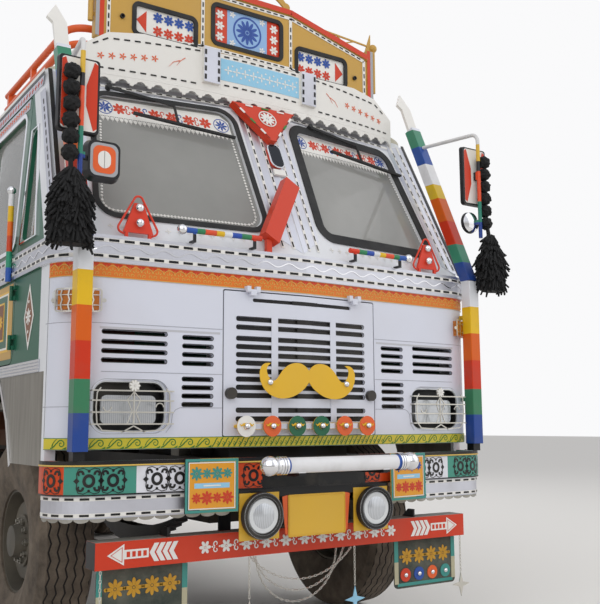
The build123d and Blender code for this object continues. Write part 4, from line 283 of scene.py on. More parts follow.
# Moulded lenses, lamp glass and mirrors: smooth, of one colour each; the studio floor is matt
lamp_glass = begin("fluted_lamp_glass", Base_Color="#D9DCDE", Roughness=0.06, IOR=1.5, Metallic=0.35)[0]
amber_plastic = begin("amber_lens_plastic", Base_Color="#B5691B", Roughness=0.15)[0]
red_plastic = begin("red_lens_plastic", Base_Color="#A3140F", Roughness=0.15)[0]
mirror_glass = begin("dark_mirror_glass", Base_Color="#33363C", Roughness=0.05, Metallic=0.8)[0]
floor_paint = begin("pale_floor", Base_Color="#E9E7E3", Roughness=0.9)[0]

# Tinted window glass lets more through where it is less hazed
window_glass, tree, shader, place = begin(
    "tinted_window_glass", Base_Color="#A6A6A2", Roughness=0.04, Alpha=0.5, IOR=1.5
)
haze = add(tree, "TexNoise", {"Vector": place, "Scale": 1.6, "Detail": 5.0})
clouded = {"Value": haze, "From Min": 0.3, "From Max": 0.7, "To Min": 0.52, "To Max": 0.72}
connect(shader, {"Alpha": add(tree, "MapRange", clouded)})

# Fluted lamp lens: soft upright streaks of painted highlight and shade that stand for light through its
# flutes
fluted_lens, tree, shader, place = begin("fluted_lamp_lens", Roughness=0.14, IOR=1.5, Metallic=0.55)
flute_glints = add(tree, "TexWave", {"Vector": place, "Scale": 34.0, "Distortion": 1.5, "Detail": 2.0})
glint_tones = {0: flute_glints.outputs["Fac"], "A": "#B4B8BC", "B": "#D8DBDF"}
connect(shader, {"Base Color": add(tree, "Mix", glint_tones, data_type="RGBA")})

# The cab's skin: white front and corners, green sides, bare dusty steel below the moulding
cab_skin, tree, shader, place = begin(
    "white_green_and_steel_cab_skin", Roughness=0.32, Specular_IOR_Level=0.3
)
parts = add(tree, "SeparateXYZ", {0: place}).outputs
over_belt = add(tree, "Math", {0: parts["Z"], 1: belt_top}, operation="SUBTRACT")
above_belt = add(tree, "Math", {0: over_belt, 1: 0.0}, operation="MAXIMUM")
leaned = add(tree, "Math", {0: above_belt, 1: -screen_rake, 2: parts["Y"]}, operation="MULTIPLY_ADD")
on_side = add(tree, "Math", {0: leaned, 1: -3.020}, operation="GREATER_THAN")
past_corner = add(tree, "Math", {0: leaned, 1: -3.100}, operation="GREATER_THAN")
is_low = add(tree, "Math", {0: parts["Z"], 1: 1.337}, operation="LESS_THAN")
is_steel = add(tree, "Math", {0: past_corner, 1: is_low}, operation="MULTIPLY")
painted = add(tree, "Mix", {0: on_side, "A": "#DCDEE2", "B": "#1F5B45"}, data_type="RGBA")
drips = add(tree, "Mapping", {"Vector": place, "Scale": (14.0, 14.0, 1.4)})
streaks = add(tree, "TexNoise", {"Vector": drips, "Scale": 2.0, "Detail": 6.0})
steel = add(tree, "Mix", {0: streaks, "A": "#5F5A52", "B": "#9A968D"}, data_type="RGBA")
connect(shader, {
    "Base Color": add(tree, "Mix", {0: is_steel, "A": painted, "B": steel}, data_type="RGBA"),
    "Metallic": add(tree, "Math", {0: is_steel, 1: 0.35}, operation="MULTIPLY"),
})

# Paints that change colour at set places on a part
board_paint = masked(
    enamel("red_board_with_black_brackets", "#CB3A1E"), "#1C1C1E", ("Z", "GREATER_THAN", 0.6222)
)
plate_paint = masked(
    enamel("yellow_plates_on_black_carrier", "#DDB03C"), "#18181A", ("Y", "GREATER_THAN", -3.4242)
)
pole_bands = banded("striped_pole_enamel", "Z", 0.9, (
    (1.148, "#23458F"), (1.291, "#3A7A57"), (1.445, "#CA3414"), (1.595, "#D55E10"), (1.745, "#E3B71F"),
    (1.900, "#DDDFE3"), (2.010, "#23458F"), (2.120, "#3C8468"), (2.270, "#CA3414"), (2.420, "#D55E10"),
    (2.520, "#D9B52A"), (2.660, "#E2E2E4"), (2.780, "#2A4F9C"), (2.905, "#3C8468"), (3.300, "#DDE0EA"),
))
mirror_bands = banded("striped_rod_enamel", "Z", 2.1, (
    (2.240, "#23408A"), (2.360, "#2F7F6B"), (2.540, "#E0502C"), (2.600, "#2A2A2C"), (2.700, "#D9B03A"),
    (2.900, "#DADADA"),
))
rod_bands = banded("striped_belt_rod_enamel", "X", 0.26, (
    (0.32, "#D8391A"), (0.37, "#2F7F53"), (0.42, "#2C4FA8"), (0.46, "#DDDFE3"), (0.50, "#E3B71F"),
    (0.56, "#E0502C"), (0.60, "#2F7F53"), (0.690, "#2C57A8"), (1.0, "#D9402A"),
), mirrored=True)
grab_bands = banded("striped_grab_bar_enamel", "Z", 1.79, (
    (1.870, "#2C57A8"), (1.950, "#2F8E6E"), (2.030, "#C9441E"), (2.100, "#E36A1E"), (2.180, "#E3B71F"),
    (2.270, "#E2E2E4"),
))
bumper_bands = banded("painted_bumper_enamel", "X", 0.0, (
    (0.290, "#151516"), (0.650, "#C9461B"), (0.882, "#DEDFE6"), (1.168, "#44907F"), (1.300, "#C9461B"),
), mirrored=True)
tube_bands = banded("painted_tube_enamel", "X", 0.0, (
    (0.300, "#E4E4E6"), (0.325, "#2C57A8"), (0.50, "#D7D8DA"),
), mirrored=True)
masked(pole_bands, "#1A1A1C", ("Z", "LESS_THAN", 0.996))
masked(mirror_bands, "#232325", ("Y", "GREATER_THAN", -3.368), ("Z", "LESS_THAN", 2.72))
masked(rod_bands, "#1F1F21", ("Z", "LESS_THAN", 1.968), ("X", "LESS_THAN", 0.7), ("X", "GREATER_THAN", -0.7))
masked(tube_bands, "#1A1A1C", ("Z", "LESS_THAN", 0.8935))

dressing = {
    white_enamel: "front_panel grille_hatch",
    cab_skin: "cab_shell",
    green_enamel: "door_left door_right",
    roof_enamel: "cab_roof",
    cream_enamel: "visor",
    rod_bands: "belt_ornaments",
    ochre_enamel: "crown_board crown_ornaments",
    brown_enamel: "load_walls tailgate",
    red_enamel: "centre_ornament",
    board_paint: "step_board",
    plate_paint: "front_plates",
    yellow_enamel: "hatch_ornaments",
    orange_enamel: "roof_rack",
    chassis_enamel: "chassis_frame leaf_springs front_axle_beam drive_axle knuckle_left knuckle_right "
    "track_rod rear_bumper side_boxes",
    bed_enamel: "load_bed",
    wheel_enamel: "front_wheel_left front_wheel_right rear_wheels_left rear_wheels_right",
    cast_iron: "engine",
    dull_stainless: "exhaust",
    plain_stainless: "visor_fringe",
    wire_metal: "front_chains lamp_guards",
    front_tyre_rubber: "front_tyre_left front_tyre_right",
    rear_tyre_rubber: "rear_tyres_left rear_tyres_right",
    flap_rubber: "mud_flaps",
    window_glass: "windscreens side_glass door_glass_left door_glass_right",
    lamp_glass: "front_lamps fog_lamps",
    red_plastic: "tail_lamps",
    yarn: "tassels",
    seat_cloth: "seats",
    dash_plastic: "dashboard",
    pole_bands: "striped_poles",
    mirror_bands: "mirrors",
    gasket_rubber: "screen_trim",
    bumper_bands: "bumper",
    tube_bands: "bumper_tube",
}
for material, names in dressing.items():
    for name in names.split():
        nodes[name].data.materials.clear()
        nodes[name].data.materials.append(material)


# Surfaces: each takes a place along it, a height and a lift off it, and gives a point in space
def wrapped(front, sweep, half, radius):
    """A swept face with two round corners, followed along its plan from the middle."""
    lean = math.atan(sweep)
    flat_run = half / math.cos(lean) - radius * math.tan((math.pi / 2 - lean) / 2)
    bend = radius * (math.pi / 2 - lean)
    centre_x = half - radius
    centre_y = front + sweep * centre_x + radius * math.hypot(1, sweep)

    def place(along, height, lift):
        run = abs(along)
        if run <= flat_run:
            x, y, angle = run * math.cos(lean), front + run * math.sin(lean), lean
        elif run <= flat_run + bend:
            angle = lean + (run - flat_run) / radius
            x, y = centre_x + radius * math.sin(angle), centre_y - radius * math.cos(angle)
        else:
            x, y, angle = half, centre_y + run - flat_run - bend, math.pi / 2
        x, y = x + lift * math.sin(angle), y - lift * math.cos(angle)
        return Vector((math.copysign(x, along), y, height))

    return place


def upright(front):
    """A flat board facing forward."""
    return lambda along, height, lift: Vector((along, front - lift, height))


def sloped(origin, tilt, zero=0.0):
    """A plane that leans back through an origin; heights are measured up it, from zero."""
    slope = Vector((0, math.sin(tilt), math.cos(tilt)))
    normal = Vector((0, -math.cos(tilt), math.sin(tilt)))

    def place(along, height, lift):
        return origin + Vector((along, 0, 0)) + slope * (height - zero) + normal * lift

    return place


def flank(side):
    """One side of the cab, followed along Y."""

    def place(along, height, lift):
        x = cab_half
        if height > belt_top:
            x = cab_half - flank_step - side_tilt * (height - belt_top)
        return Vector((side * (x + lift), along, height))

    return place


def body_flank(side):
    """One side of the load body's ribs, followed along Y."""
    return lambda along, height, lift: Vector((side * (body_side + lift), along, height))


def screen(along, height, lift):
    """The plane of the windscreens, which leans back and sweeps back from the middle."""
    y = screen_foot + screen_sweep * abs(along) + screen_rake * (height - belt_top)
    normal = Vector((math.copysign(screen_sweep, along), -1, screen_rake)).normalized()
    return Vector((along, y, height)) + normal * lift


def pillar_mirror_face(along, height, lift):
    """The small mirror's front, parallel to the windscreens in the middle."""
    base = Vector((along, screen_foot + screen_rake * (height - belt_top), height))
    return base + Vector((0, -math.cos(screen_tilt), math.sin(screen_tilt))) * (0.0162 + lift)


def visor_face(along, height, lift):
    """The visor's bowed front, which turns back along its sloping top edge."""
    rise = max(height - 3.086, 0)
    return Vector((along, 1.698 - math.sqrt(4.61**2 - along**2) - lift + rise * 2.1, height))


def gate_back(along, height, lift):
    """The tailgate's outer board, which faces backward."""
    return Vector((along, 3.606 + lift, height))


face = wrapped(nose - 0.015, 0.055, cab_half, 0.200)
bumper_face = wrapped(nose - 0.120, 0.08, 1.226, 0.185)
box_foot = 2.590
box_origin = Vector((0, screen_foot + screen_rake * (box_foot - belt_top), box_foot))
box_face = sloped(box_origin, screen_tilt, box_foot)
box_front = 0.041

# Flat shapes, drawn with X along a surface and Z up it
forward = Matrix.Rotation(math.radians(90), 4, "X")
sideways = Matrix.Rotation(math.radians(90), 4, "Y")


def put(along, height, turn=0.0):
    """The matrix that stands a flat shape up at a place, turned in its own plane."""
    return Matrix.Translation((along, 0, height)) @ forward @ Matrix.Rotation(turn, 4, "Z")


def bar(shape, left, right, low, high):
    place = put((left + right) / 2, (low + high) / 2) @ Matrix.Diagonal((abs(right - left), high - low, 1, 1))
    bmesh.ops.create_grid(shape, x_segments=1, y_segments=1, size=0.5, matrix=place)


def upright_bar(shape, middle, half, low, high):
    bar(shape, middle - half, middle + half, low, high)


def disc(shape, along, height, radius, stretch=1.0, turn=0.0, segments=20):
    place = put(along, height, turn) @ Matrix.Diagonal((radius * stretch, radius, 1, 1))
    bmesh.ops.create_circle(shape, cap_ends=True, radius=1, segments=segments, matrix=place)


def outline(shape, points, side=1):
    shape.faces.new([shape.verts.new((side * along, 0, height)) for along, height in points])


def ribbon(shape, points, width, tip=None, closed=False, side=1):
    """A line of a given width through points, thinning to a tip if one is given."""
    path = [Vector((side * along, 0, height)) for along, height in points]
    count = len(path)
    tip = width if tip is None else tip
    edges = []
    for index, point in enumerate(path):
        before = path[index - 1] if index or closed else point
        after = path[(index + 1) % count] if index < count - 1 or closed else point
        run = (after - before).normalized()
        half = (width + (tip - width) * index / max(count - 1, 1)) / 2
        across = Vector((-run.z, 0, run.x)) * half
        edges.append((point - across, point + across))
    first = [shape.verts.new(corner) for corner in edges[0]]
    edge = start_edge = shape.edges.new(first)
    for left, right in edges[1:]:
        grown = bmesh.ops.extrude_edge_only(shape, edges=[edge])["geom"]
        verts = [part for part in grown if isinstance(part, bmesh.types.BMVert)]
        for vert in verts:
            near_left = (vert.co - first[0].co).length < (vert.co - first[1].co).length
            vert.co = left if near_left else right
        lines = [part for part in grown if isinstance(part, bmesh.types.BMEdge)]
        edge = next(line for line in lines if set(line.verts) == set(verts))
        first = sorted(verts, key=lambda vert: (vert.co - left).length)
    if closed:
        bmesh.ops.bridge_loops(shape, edges=[edge, start_edge])


def arc_points(along, height, radius, start, end, steps=10, shrink=1.0):
    """Points on an arc in degrees; with shrink it closes into a spiral."""
    points = []
    for step in range(steps + 1):
        part = step / steps
        angle = math.radians(start + (end - start) * part)
        reach = radius * (1 + (shrink - 1) * part)
        points.append((along + reach * math.cos(angle), height + reach * math.sin(angle)))
    return points


def beside(middle, points, side=1, height=0.0, up=1):
    """Points given by their run and rise from a place, turned to one side of it."""
    return [(middle + side * run, height + up * rise) for run, rise in points]


def rounded_points(left, right, low, high, radius, steps=6):
    """Points round a rectangle with rounded corners."""
    left, right = sorted((left, right))
    points = []
    for along, height, start in (
        (right - radius, high - radius, 0),
        (left + radius, high - radius, 90),
        (left + radius, low + radius, 180),
        (right - radius, low + radius, 270),
    ):
        points += arc_points(along, height, radius, start, start + 90, steps)
    return points


def ring(shape, left, right, low, high, width, radius=0.0, steps=6):
    """A line round a rectangle, its corners rounded if a radius is given."""
    points = ((left, low), (right, low), (right, high), (left, high))
    if radius:
        points = rounded_points(left, right, low, high, radius, steps)
    ribbon(shape, points, width, closed=True)


def dashes(shape, left, right, height, dash=0.046, pitch=0.070, deep=0.011):
    """A row of short bars between two ends."""
    count = max(int((right - left) / pitch), 1)
    spare = (right - left - count * pitch + pitch - dash) / 2
    for index in range(count):
        start = left + spare + index * pitch
        bar(shape, start, start + dash, height - deep / 2, height + deep / 2)


def dash_line(shape, start, end, dash=0.030, pitch=0.054, deep=0.008, side=1):
    """A row of short bars along a slanted line."""
    start = Vector((side * start[0], start[1]))
    line = Vector((side * end[0], end[1])) - start
    run = line.normalized()
    for index in range(int(line.length / pitch)):
        near = start + run * index * pitch
        ribbon(shape, [near, near + run * dash], deep)


def petals(shape, along, height, radius, count, slim=0.3):
    """A rosette of narrow petals round a bud, none of them touching."""
    broad = min(radius * slim / 2, 0.58 * radius * math.sin(math.pi / count) * 0.9)
    for index in range(count):
        turn = 2 * math.pi * index / count
        x, z = along + 0.58 * radius * math.cos(turn), height + 0.58 * radius * math.sin(turn)
        disc(shape, x, z, broad, stretch=0.42 * radius / broad, turn=turn, segments=10)
    disc(shape, along, height, 0.13 * radius, segments=8)


def steps_from(first, pitch, count):
    """Evenly spaced places."""
    return [first + index * pitch for index in range(count)]


# Solid shapes
def beam(shape, start, end, width, depth):
    """A square bar between two points."""
    path = Vector(end) - Vector(start)
    turn = path.to_track_quat("Z", "Y").to_matrix().to_4x4()
    size = Matrix.Diagonal((width, depth, path.length, 1))
    place = Matrix.Translation(Vector(start) + path / 2) @ turn @ size
    bmesh.ops.create_cube(shape, size=1, matrix=place)


def ball(shape, spot, radius, around=24, up=14):
    place = Matrix.Translation(spot)
    bmesh.ops.create_uvsphere(shape, u_segments=around, v_segments=up, radius=radius, matrix=place)


def cone(shape, place, foot, head, depth, segments):
    bmesh.ops.create_cone(
        shape, cap_ends=True, segments=segments, radius1=foot, radius2=head, depth=depth, matrix=place
    )


def turned(shape, centre, profile, steps=40):
    """Turns a profile of (radius, forward) points about a line through a centre that faces forward."""
    verts = [shape.verts.new((centre[0] + radius, centre[1] - ahead, centre[2])) for radius, ahead in profile]
    edges = [shape.edges.new(pair) for pair in zip(verts, verts[1:])]
    bmesh.ops.spin(
        shape, geom=verts + edges, cent=centre, axis=(0, 1, 0), angle=2 * math.pi, steps=steps, use_merge=True
    )
    bmesh.ops.remove_doubles(shape, verts=shape.verts[:], dist=0.00002)


# Pieces: a shape becomes one named mesh that rides on a body
def place_piece(name, shape, material, body="truck", smooth=False):
    """Writes a bmesh out as one piece that rides on a body."""
    bmesh.ops.recalc_face_normals(shape, faces=shape.faces[:])
    data = bpy.data.meshes.new(name)
    shape.to_mesh(data)
    shape.free()
    data.materials.append(material)
    if smooth:
        data.polygons.foreach_set("use_smooth", [True] * len(data.polygons))
        data.set_sharp_from_angle(angle=math.radians(40))
    piece = bpy.data.objects.new(name, data)
    scene.collection.objects.link(piece)
    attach(piece, body)
    return piece


def finish(name, shape, surface, material, lift=0.0008, thickness=0.0012, body="truck", cuts=0.0):
    """Thickens flat shapes, lays them on a surface and gives them their material and body."""
    if cuts:
        reach = max(abs(vert.co.x) for vert in shape.verts)
        steps = int(reach / cuts)
        for step in range(-steps, steps + 1):
            geometry = shape.verts[:] + shape.edges[:] + shape.faces[:]
            bmesh.ops.bisect_plane(shape, geom=geometry, plane_co=(step * cuts, 0, 0), plane_no=(1, 0, 0))
    for flat_face in shape.faces:
        flat_face.normal_update()
        if flat_face.normal.y > 0:
            flat_face.normal_flip()
    bmesh.ops.solidify(shape, geom=shape.faces[:], thickness=thickness)
    back = max(vert.co.y for vert in shape.verts)
    for vert in shape.verts:
        vert.co = surface(vert.co.x, vert.co.z, lift + back - vert.co.y)
    return place_piece(name, shape, material, body)


@contextlib.contextmanager
def flat(name, *look, **more):
    """Hands out an empty flat shape to draw in, then finishes it as one piece."""
    shape = bmesh.new()
    yield shape
    finish(name, shape, *look, **more)


@contextlib.contextmanager
def solid(name, *look, **more):
    """Hands out an empty solid shape, then places it as one piece."""
    shape = bmesh.new()
    yield shape
    place_piece(name, shape, *look, **more)


# Rows along the cab's belt, split where the doors are
belt_runs = {
    "truck": ((-2.985, -2.591), (-1.797, 1.797), (2.591, 2.985)),
    "door_left": ((1.807, 2.583),),
    "door_right": ((-2.583, -1.807),),
}
belt_ridge = 0.010
belt_rows = (1.905, 1.834)


def belt_pieces(name, material, draw, lift, thickness=0.0012):
    """The same ornament on the belt's three bodies, drawn once for each run."""
    for body, runs in belt_runs.items():
        with flat(f"{name}_{body}", face, material, belt_ridge + lift, thickness, body, 0.03) as shape:
            for left, right in runs:
                draw(shape, left, right)


def belt_sheet(shape, left, right):
    bar(shape, left, right, 1.8075, 1.929)


def belt_lines(shape, left, right):
    for height in belt_rows:
        bar(shape, left, right, height - 0.009, height + 0.009)


def belt_dashes(shape, left, right):
    for height in belt_rows:
        dashes(shape, left, right, height)


def belt_wave(shape, left, right):
    places = steps_from(left, 0.012, int((right - left) / 0.012) + 1)
    ribbon(shape, [(along, 1.870 + 0.011 * math.sin(along * 2 * math.pi / 0.13)) for along in places], 0.005)


belt_pieces("belt_sheet", stainless, belt_sheet, 0.0006)
belt_pieces("belt_white_lines", cream_enamel, belt_lines, 0.0020)
belt_pieces("belt_dashes", black_enamel, belt_dashes, 0.0034)
belt_pieces("belt_wave", chrome, belt_wave, 0.0022, 0.002)

# Palmette band: orange ground, red gussets, thin yellow fans on scalloped arcs
band_half = 1.280
palmette_pitch = 0.0530
palmette_count = int(2 * band_half / palmette_pitch)
with flat("palmette_ground", face, palmette_orange, cuts=0.03) as shape:
    bar(shape, -band_half, band_half, 1.742, 1.806)
with (
    flat("palmette_gussets", face, red_enamel, 0.0020, cuts=0.03) as gussets,
    flat("palmette_fans", face, gold_enamel, 0.0034, cuts=0.03) as fans,
):
    for index in range(palmette_count):
        middle = (index + 0.5 - palmette_count / 2) * palmette_pitch
        outline(gussets, ((middle - 0.028, 1.803), (middle - 0.006, 1.803), (middle - 0.019, 1.780)))
        outline(gussets, ((middle + 0.006, 1.803), (middle + 0.028, 1.803), (middle + 0.019, 1.780)))
        ribbon(fans, arc_points(middle, 1.7680, 0.0265, 12, 168, 10), 0.0034, 0.0024)
        for turn, far in ((-45, 0.020), (0, 0.024), (45, 0.020)):
            lean = math.radians(90 + turn)
            spoke = [(middle + run * math.cos(lean), 1.764 + run * math.sin(lean)) for run in (0.010, far)]
            ribbon(fans, spoke, 0.0044, 0.0016)
        for side in sides:
            start, end = 90 - side * 120, 90 + side * 190
            curl = arc_points(middle + side * 0.0135, 1.757, 0.0095, start, end, 8, 0.35)
            ribbon(fans, curl, 0.0028, 0.0018)
    bar(fans, -band_half, band_half, 1.742, 1.7445)

# Running scroll along the panel's foot, plaited in the middle
scroll_pitch = 0.082
with flat("scroll_ground", face, scroll_enamel, cuts=0.03) as shape:
    bar(shape, -band_half, band_half, 1.0015, 1.050)
with flat("scroll_vine", face, leaf_enamel, 0.0020, cuts=0.04) as scrolls:
    for index in range(-15, 15):
        middle = (index + 0.5) * scroll_pitch
        if abs(middle) < 0.46:
            for start in steps_from(middle - scroll_pitch / 3, scroll_pitch / 3, 3):
                wave = ((-0.019, 1.006), (-0.012, 1.013), (-0.004, 1.025), (0.001, 1.037), (0.009, 1.045))
                ribbon(scrolls, beside(start, wave), 0.0045)
                ribbon(scrolls, arc_points(start + 0.010, 1.020, 0.0075, 100, -200, 8, 0.5), 0.0034, 0.002)
        else:
            stem = ((-0.044, 1.007), (-0.033, 1.010), (-0.022, 1.018), (-0.014, 1.027))
            leaf = ((-0.036, 1.015), (-0.030, 1.028), (-0.022, 1.038), (-0.012, 1.046))
            thorn = ((0.014, 1.0045), (0.034, 1.014), (0.031, 1.0045))
            curl = arc_points(middle + 0.010, 1.0255, 0.0180, 160, -300, 18, 0.2)
            ribbon(scrolls, beside(middle, stem) + curl, 0.0056, 0.003)
            ribbon(scrolls, beside(middle, leaf), 0.0045, 0.002)
            outline(scrolls, beside(middle, thorn))
    bar(scrolls, -band_half, band_half, 1.0015, 1.0035)
    bar(scrolls, -band_half, band_half, 1.0475, 1.050)

# Pressed joints in the white panel, a line of painted shade along a fold in it, and a strip of painted shadow
# in the gap beside the hatch
joints = ((1.540, 0.449, 1.30), (1.331, 0.449, 1.02), (1.180, 1.10, 1.30), (1.178, 0.449, 0.655))
with (
    flat("panel_joints", face, seam_shadow, 0.0004, 0.0006, cuts=0.04) as shape,
    flat("panel_fold", face, fold_shadow, 0.0003, 0.0004, cuts=0.04) as fold_shade,
):
    for side in sides:
        for height, inner, outer in joints:
            bar(shape, side * inner, side * outer, height, height + 0.0028)
        upright_bar(shape, side * 1.281, 0.0018, 1.052, 1.805)
        corner = ((0.655, 1.1794), (0.676, 1.170), (0.690, 1.150), (0.696, 1.10), (0.720, 1.070))
        ribbon(shape, corner, 0.0026, side=side)
        # Painted shade along the fold
        bar(fold_shade, side * 0.46, side * 1.03, 1.517, 1.527)
for side, name in hands:
    with flat(f"hatch_shadow_{name}", face, gasket_rubber, -0.010, 0.004) as shape:
        upright_bar(shape, side * 0.443, 0.0045, 1.052, 1.727)

# Slots: painted shade round their edges and in dark bars that join the hatch's two columns; two pressed ribs
# part them in three
long_slots = (1.505, 1.462, 1.422, 1.382)
short_slots = (1.496, 1.457, 1.418, 1.379, 1.308, 1.270, 1.232, 1.194)
hatch_slots = (1.598, 1.558, 1.505, 1.466, 1.428, 1.390, 1.352, 1.314, 1.276, 1.238, 1.170, 1.130)
# Black rings round the panel's slots: painted shade that makes the openings read wider
with flat("panel_slot_rims", face, black_enamel, 0.0004, 0.0008, cuts=0.05) as slot_shade:
    for side in sides:
        for rows, inner, outer in ((long_slots, 0.7205, 1.0195), (short_slots, 0.494, 0.646)):
            for height in rows:
                ring(slot_shade, side * inner, side * outer, height - 0.0090, height + 0.0090, 0.0036, 0.008, 4)
with (
    flat("hatch_slot_rims", face, black_enamel, 0.0004, 0.0008, "hatch", 0.05) as slot_shade,
    flat("hatch_ribs", face, white_enamel, 0.0008, 0.0012, "hatch", 0.05) as ribs,
    flat("hatch_gauze", face, lamp_black, -0.0120, 0.001, "hatch", 0.05) as gauze,
):
    # Painted shade: dark bars over the web between the two columns, and one above them
    bar(slot_shade, -0.074, 0.074, 1.6805, 1.6995)
    for height in hatch_slots:
        bar(slot_shade, -0.0470, 0.0470, height - 0.0116, height + 0.0116)
    for side in sides:
        for height in hatch_slots:
            ring(slot_shade, side * 0.0345, side * 0.3765, height - 0.0102, height + 0.0102, 0.0034, 0.009, 4)
        bar(ribs, side * 0.154, side * 0.190, 1.112, 1.616)
        bar(gauze, side * 0.030, side * 0.395, 1.100, 1.705)


# Bumper: black rounded top with a gold line, arabesques on the coloured bands, dashed foot
def arabesque(shape, middle, height):
    """An upright ring held by four hooks, with diamonds at its sides and thin vines along the edges."""
    angles = [step * math.pi / 10 for step in range(20)]
    eye = [(middle + 0.0195 * math.cos(angle), height + 0.0215 * math.sin(angle)) for angle in angles]
    ribbon(shape, eye, 0.0130, closed=True)
    vine = ((0.047, 0.006), (0.0495, 0.030), (0.042, 0.0475), (0.022, 0.0520), (0.004, 0.0440))
    diamond = ((0.0370, 0), (0.0495, 0.0125), (0.0620, 0), (0.0495, -0.0125))
    for side in sides:
        for up in sides:
            start, end = up * (90 + side * 110), up * (90 - side * 150)
            hook = arc_points(middle + side * 0.0345, height + up * 0.0290, 0.0120, start, end, 10, 0.6)
            ribbon(shape, hook, 0.0105, 0.0075)
            ribbon(shape, beside(middle, vine, side, height, up), 0.0042, 0.0026)
        outline(shape, beside(middle, diamond, side, height))
        disc(shape, middle, height + side * 0.0400, 0.0060, segments=10)


bumper_end = 1.36
with flat("bumper_black_lines", bumper_face, black_enamel, 0.0010, cuts=0.03) as shape:
    bar(shape, -bumper_end, bumper_end, 0.9335, 0.957)
    bar(shape, -bumper_end, bumper_end, 0.8155, 0.8215)
with flat("bumper_gold_line", bumper_face, gold_enamel, 0.0024, 0.0035, cuts=0.03) as shape:
    bar(shape, -bumper_end, bumper_end, 0.9350, 0.9410)
with flat("bumper_arabesques", bumper_face, black_enamel, cuts=0.03) as shape:
    for side in sides:
        for middle in (0.340, 0.693, 0.796, 0.987, 1.088, 1.255):
            arabesque(shape, side * middle, 0.877)
with (
    flat("skirt_sheet", bumper_face, plain_stainless, -0.0112, cuts=0.03) as skirt,
    flat("skirt_white_lines", bumper_face, cream_enamel, -0.0098, cuts=0.03) as white,
    flat("skirt_dashes", bumper_face, black_enamel, -0.0084, cuts=0.03) as dark,
    flat("skirt_fringe", bumper_face, dull_stainless, -0.0150, 0.002, cuts=0.03) as fringe,
):
    for left, right in ((-bumper_end, -0.45), (0.45, bumper_end)):
        bar(skirt, left, right, 0.7225, 0.8145)
        for height in (0.803, 0.737):
            bar(white, left, right, height - 0.008, height + 0.008)
            dashes(dark, left, right, height, 0.040, 0.066, 0.009)
        count = int((right - left) / 0.070)
        for middle in steps_from(left + (right - left) / count / 2, (right - left) / count, count):
            turns = [math.pi + step * math.pi / 8 for step in range(9)]
            scallop = [(middle + 0.0345 * math.cos(turn), 0.7215 + 0.0150 * math.sin(turn)) for turn in turns]
            outline(fringe, [(middle - 0.0345, 0.728)] + scallop + [(middle + 0.0345, 0.728)])

# Crown board: rubber-framed windows with arrows, dashed mouldings round the three fields, red rail
crown_face = upright(-2.760)
windows = ((0, 3.205, 0.470, 0.250), (0.512, 3.140, 0.380, 0.190), (-0.512, 3.140, 0.380, 0.190))
with (
    flat("crown_rubber", crown_face, gasket_rubber, -0.004, 0.010) as rubber,
    flat("crown_panes", crown_face, cream_enamel, -0.0095, 0.0015) as panes,
    flat("crown_red_marks", crown_face, red_enamel, -0.0076) as red,
    flat("crown_blue_field", crown_face, pale_blue_enamel, -0.0076) as field,
    flat("crown_blue_marks", crown_face, blue_enamel, -0.0062) as blue,
    flat("crown_white_rosettes", crown_face, cream_enamel, -0.0060) as white,
):
    for middle, low, width, height in windows:
        left, right, high = middle - width / 2, middle + width / 2, low + height
        centre = low + height / 2
        ring(rubber, left + 0.009, right - 0.009, low + 0.009, high - 0.009, 0.024, 0.030)
        outline(panes, rounded_points(left + 0.002, right - 0.002, low + 0.002, high - 0.002, 0.032))
        if middle:
            side = math.copysign(1, middle)
            root = middle + side * 0.108
            outline(red, ((middle + side * 0.165, centre), (root, centre + 0.060), (root, centre - 0.060)))
            for step in range(4):
                along = middle - side * (0.145 - step * 0.062)
                petals(blue, along, centre + 0.038, 0.031, 7, 0.5)
                petals(red, along, centre - 0.038, 0.031, 7, 0.5)
        else:
            for side in sides:
                upright_bar(red, side * 0.178, 0.046, low + 0.014, high - 0.014)
            bar(field, -0.131, 0.131, low + 0.014, high - 0.014)
            ribbon(blue, arc_points(middle, centre, 0.088, 0, 348, 36), 0.010, closed=True)
            petals(blue, middle, centre, 0.074, 12)
    for side in sides:
        for height in (3.265, 3.330, 3.395):
            petals(white, side * 0.178, height, 0.028, 6, 0.5)
        for height in (3.245, 3.415):
            petals(white, side * 0.098, height, 0.020, 5, 0.5)

crown_bend = 0.29


def crown_top(along, drop):
    return along, 3.540 - (along - crown_bend) * 0.2544 - drop


def crown_foot(along, rise):
    return along, 3.161 - (along - crown_bend) * 0.1333 + rise


with (
    flat("crown_white_mouldings", crown_face, cream_enamel, 0.0006, 0.004) as white,
    flat("crown_dashes", crown_face, black_enamel, 0.0046) as dark,
    flat("crown_red_rail", upright(-2.772), red_enamel, 0.0006, 0.002) as rail,
):
    tops = (crown_top(crown_bend, 0.050), crown_top(0.835, 0.050))
    feet = (crown_foot(crown_bend, 0.014), crown_foot(0.835, 0.014))
    for side in sides:
        ribbon(rail, (crown_top(crown_bend, 0.017), crown_top(0.858, 0.017)), 0.033, side=side)
        for line in (tops, feet, (feet[1], tops[1]), (feet[0], tops[0])):
            ribbon(white, line, 0.020, side=side)
            dash_line(dark, *line, dash=0.028, pitch=0.046, side=side)
    for height in (3.490, 3.175):
        line = ((-crown_bend, height), (crown_bend, height))
        ribbon(white, line, 0.020)
        dash_line(dark, *line, dash=0.028, pitch=0.046)
    bar(rail, -0.292, 0.292, 3.507, 3.539)
with flat("crown_knobs", crown_face, black_enamel, 0.0006, 0.012) as shape:
    for side in sides:
        for radius in (0.013, 0.007):
            disc(shape, side * 0.760, 3.225, radius, segments=12)
for name, paint, along, half in (("grey", grey_enamel, 0.895, 0.010), ("red", red_enamel, 0.872, 0.012)):
    with flat(f"crown_post_{name}", upright(-2.765), paint, 0.0006) as shape:
        for side in sides:
            upright_bar(shape, side * along, half, 3.088, 3.428)

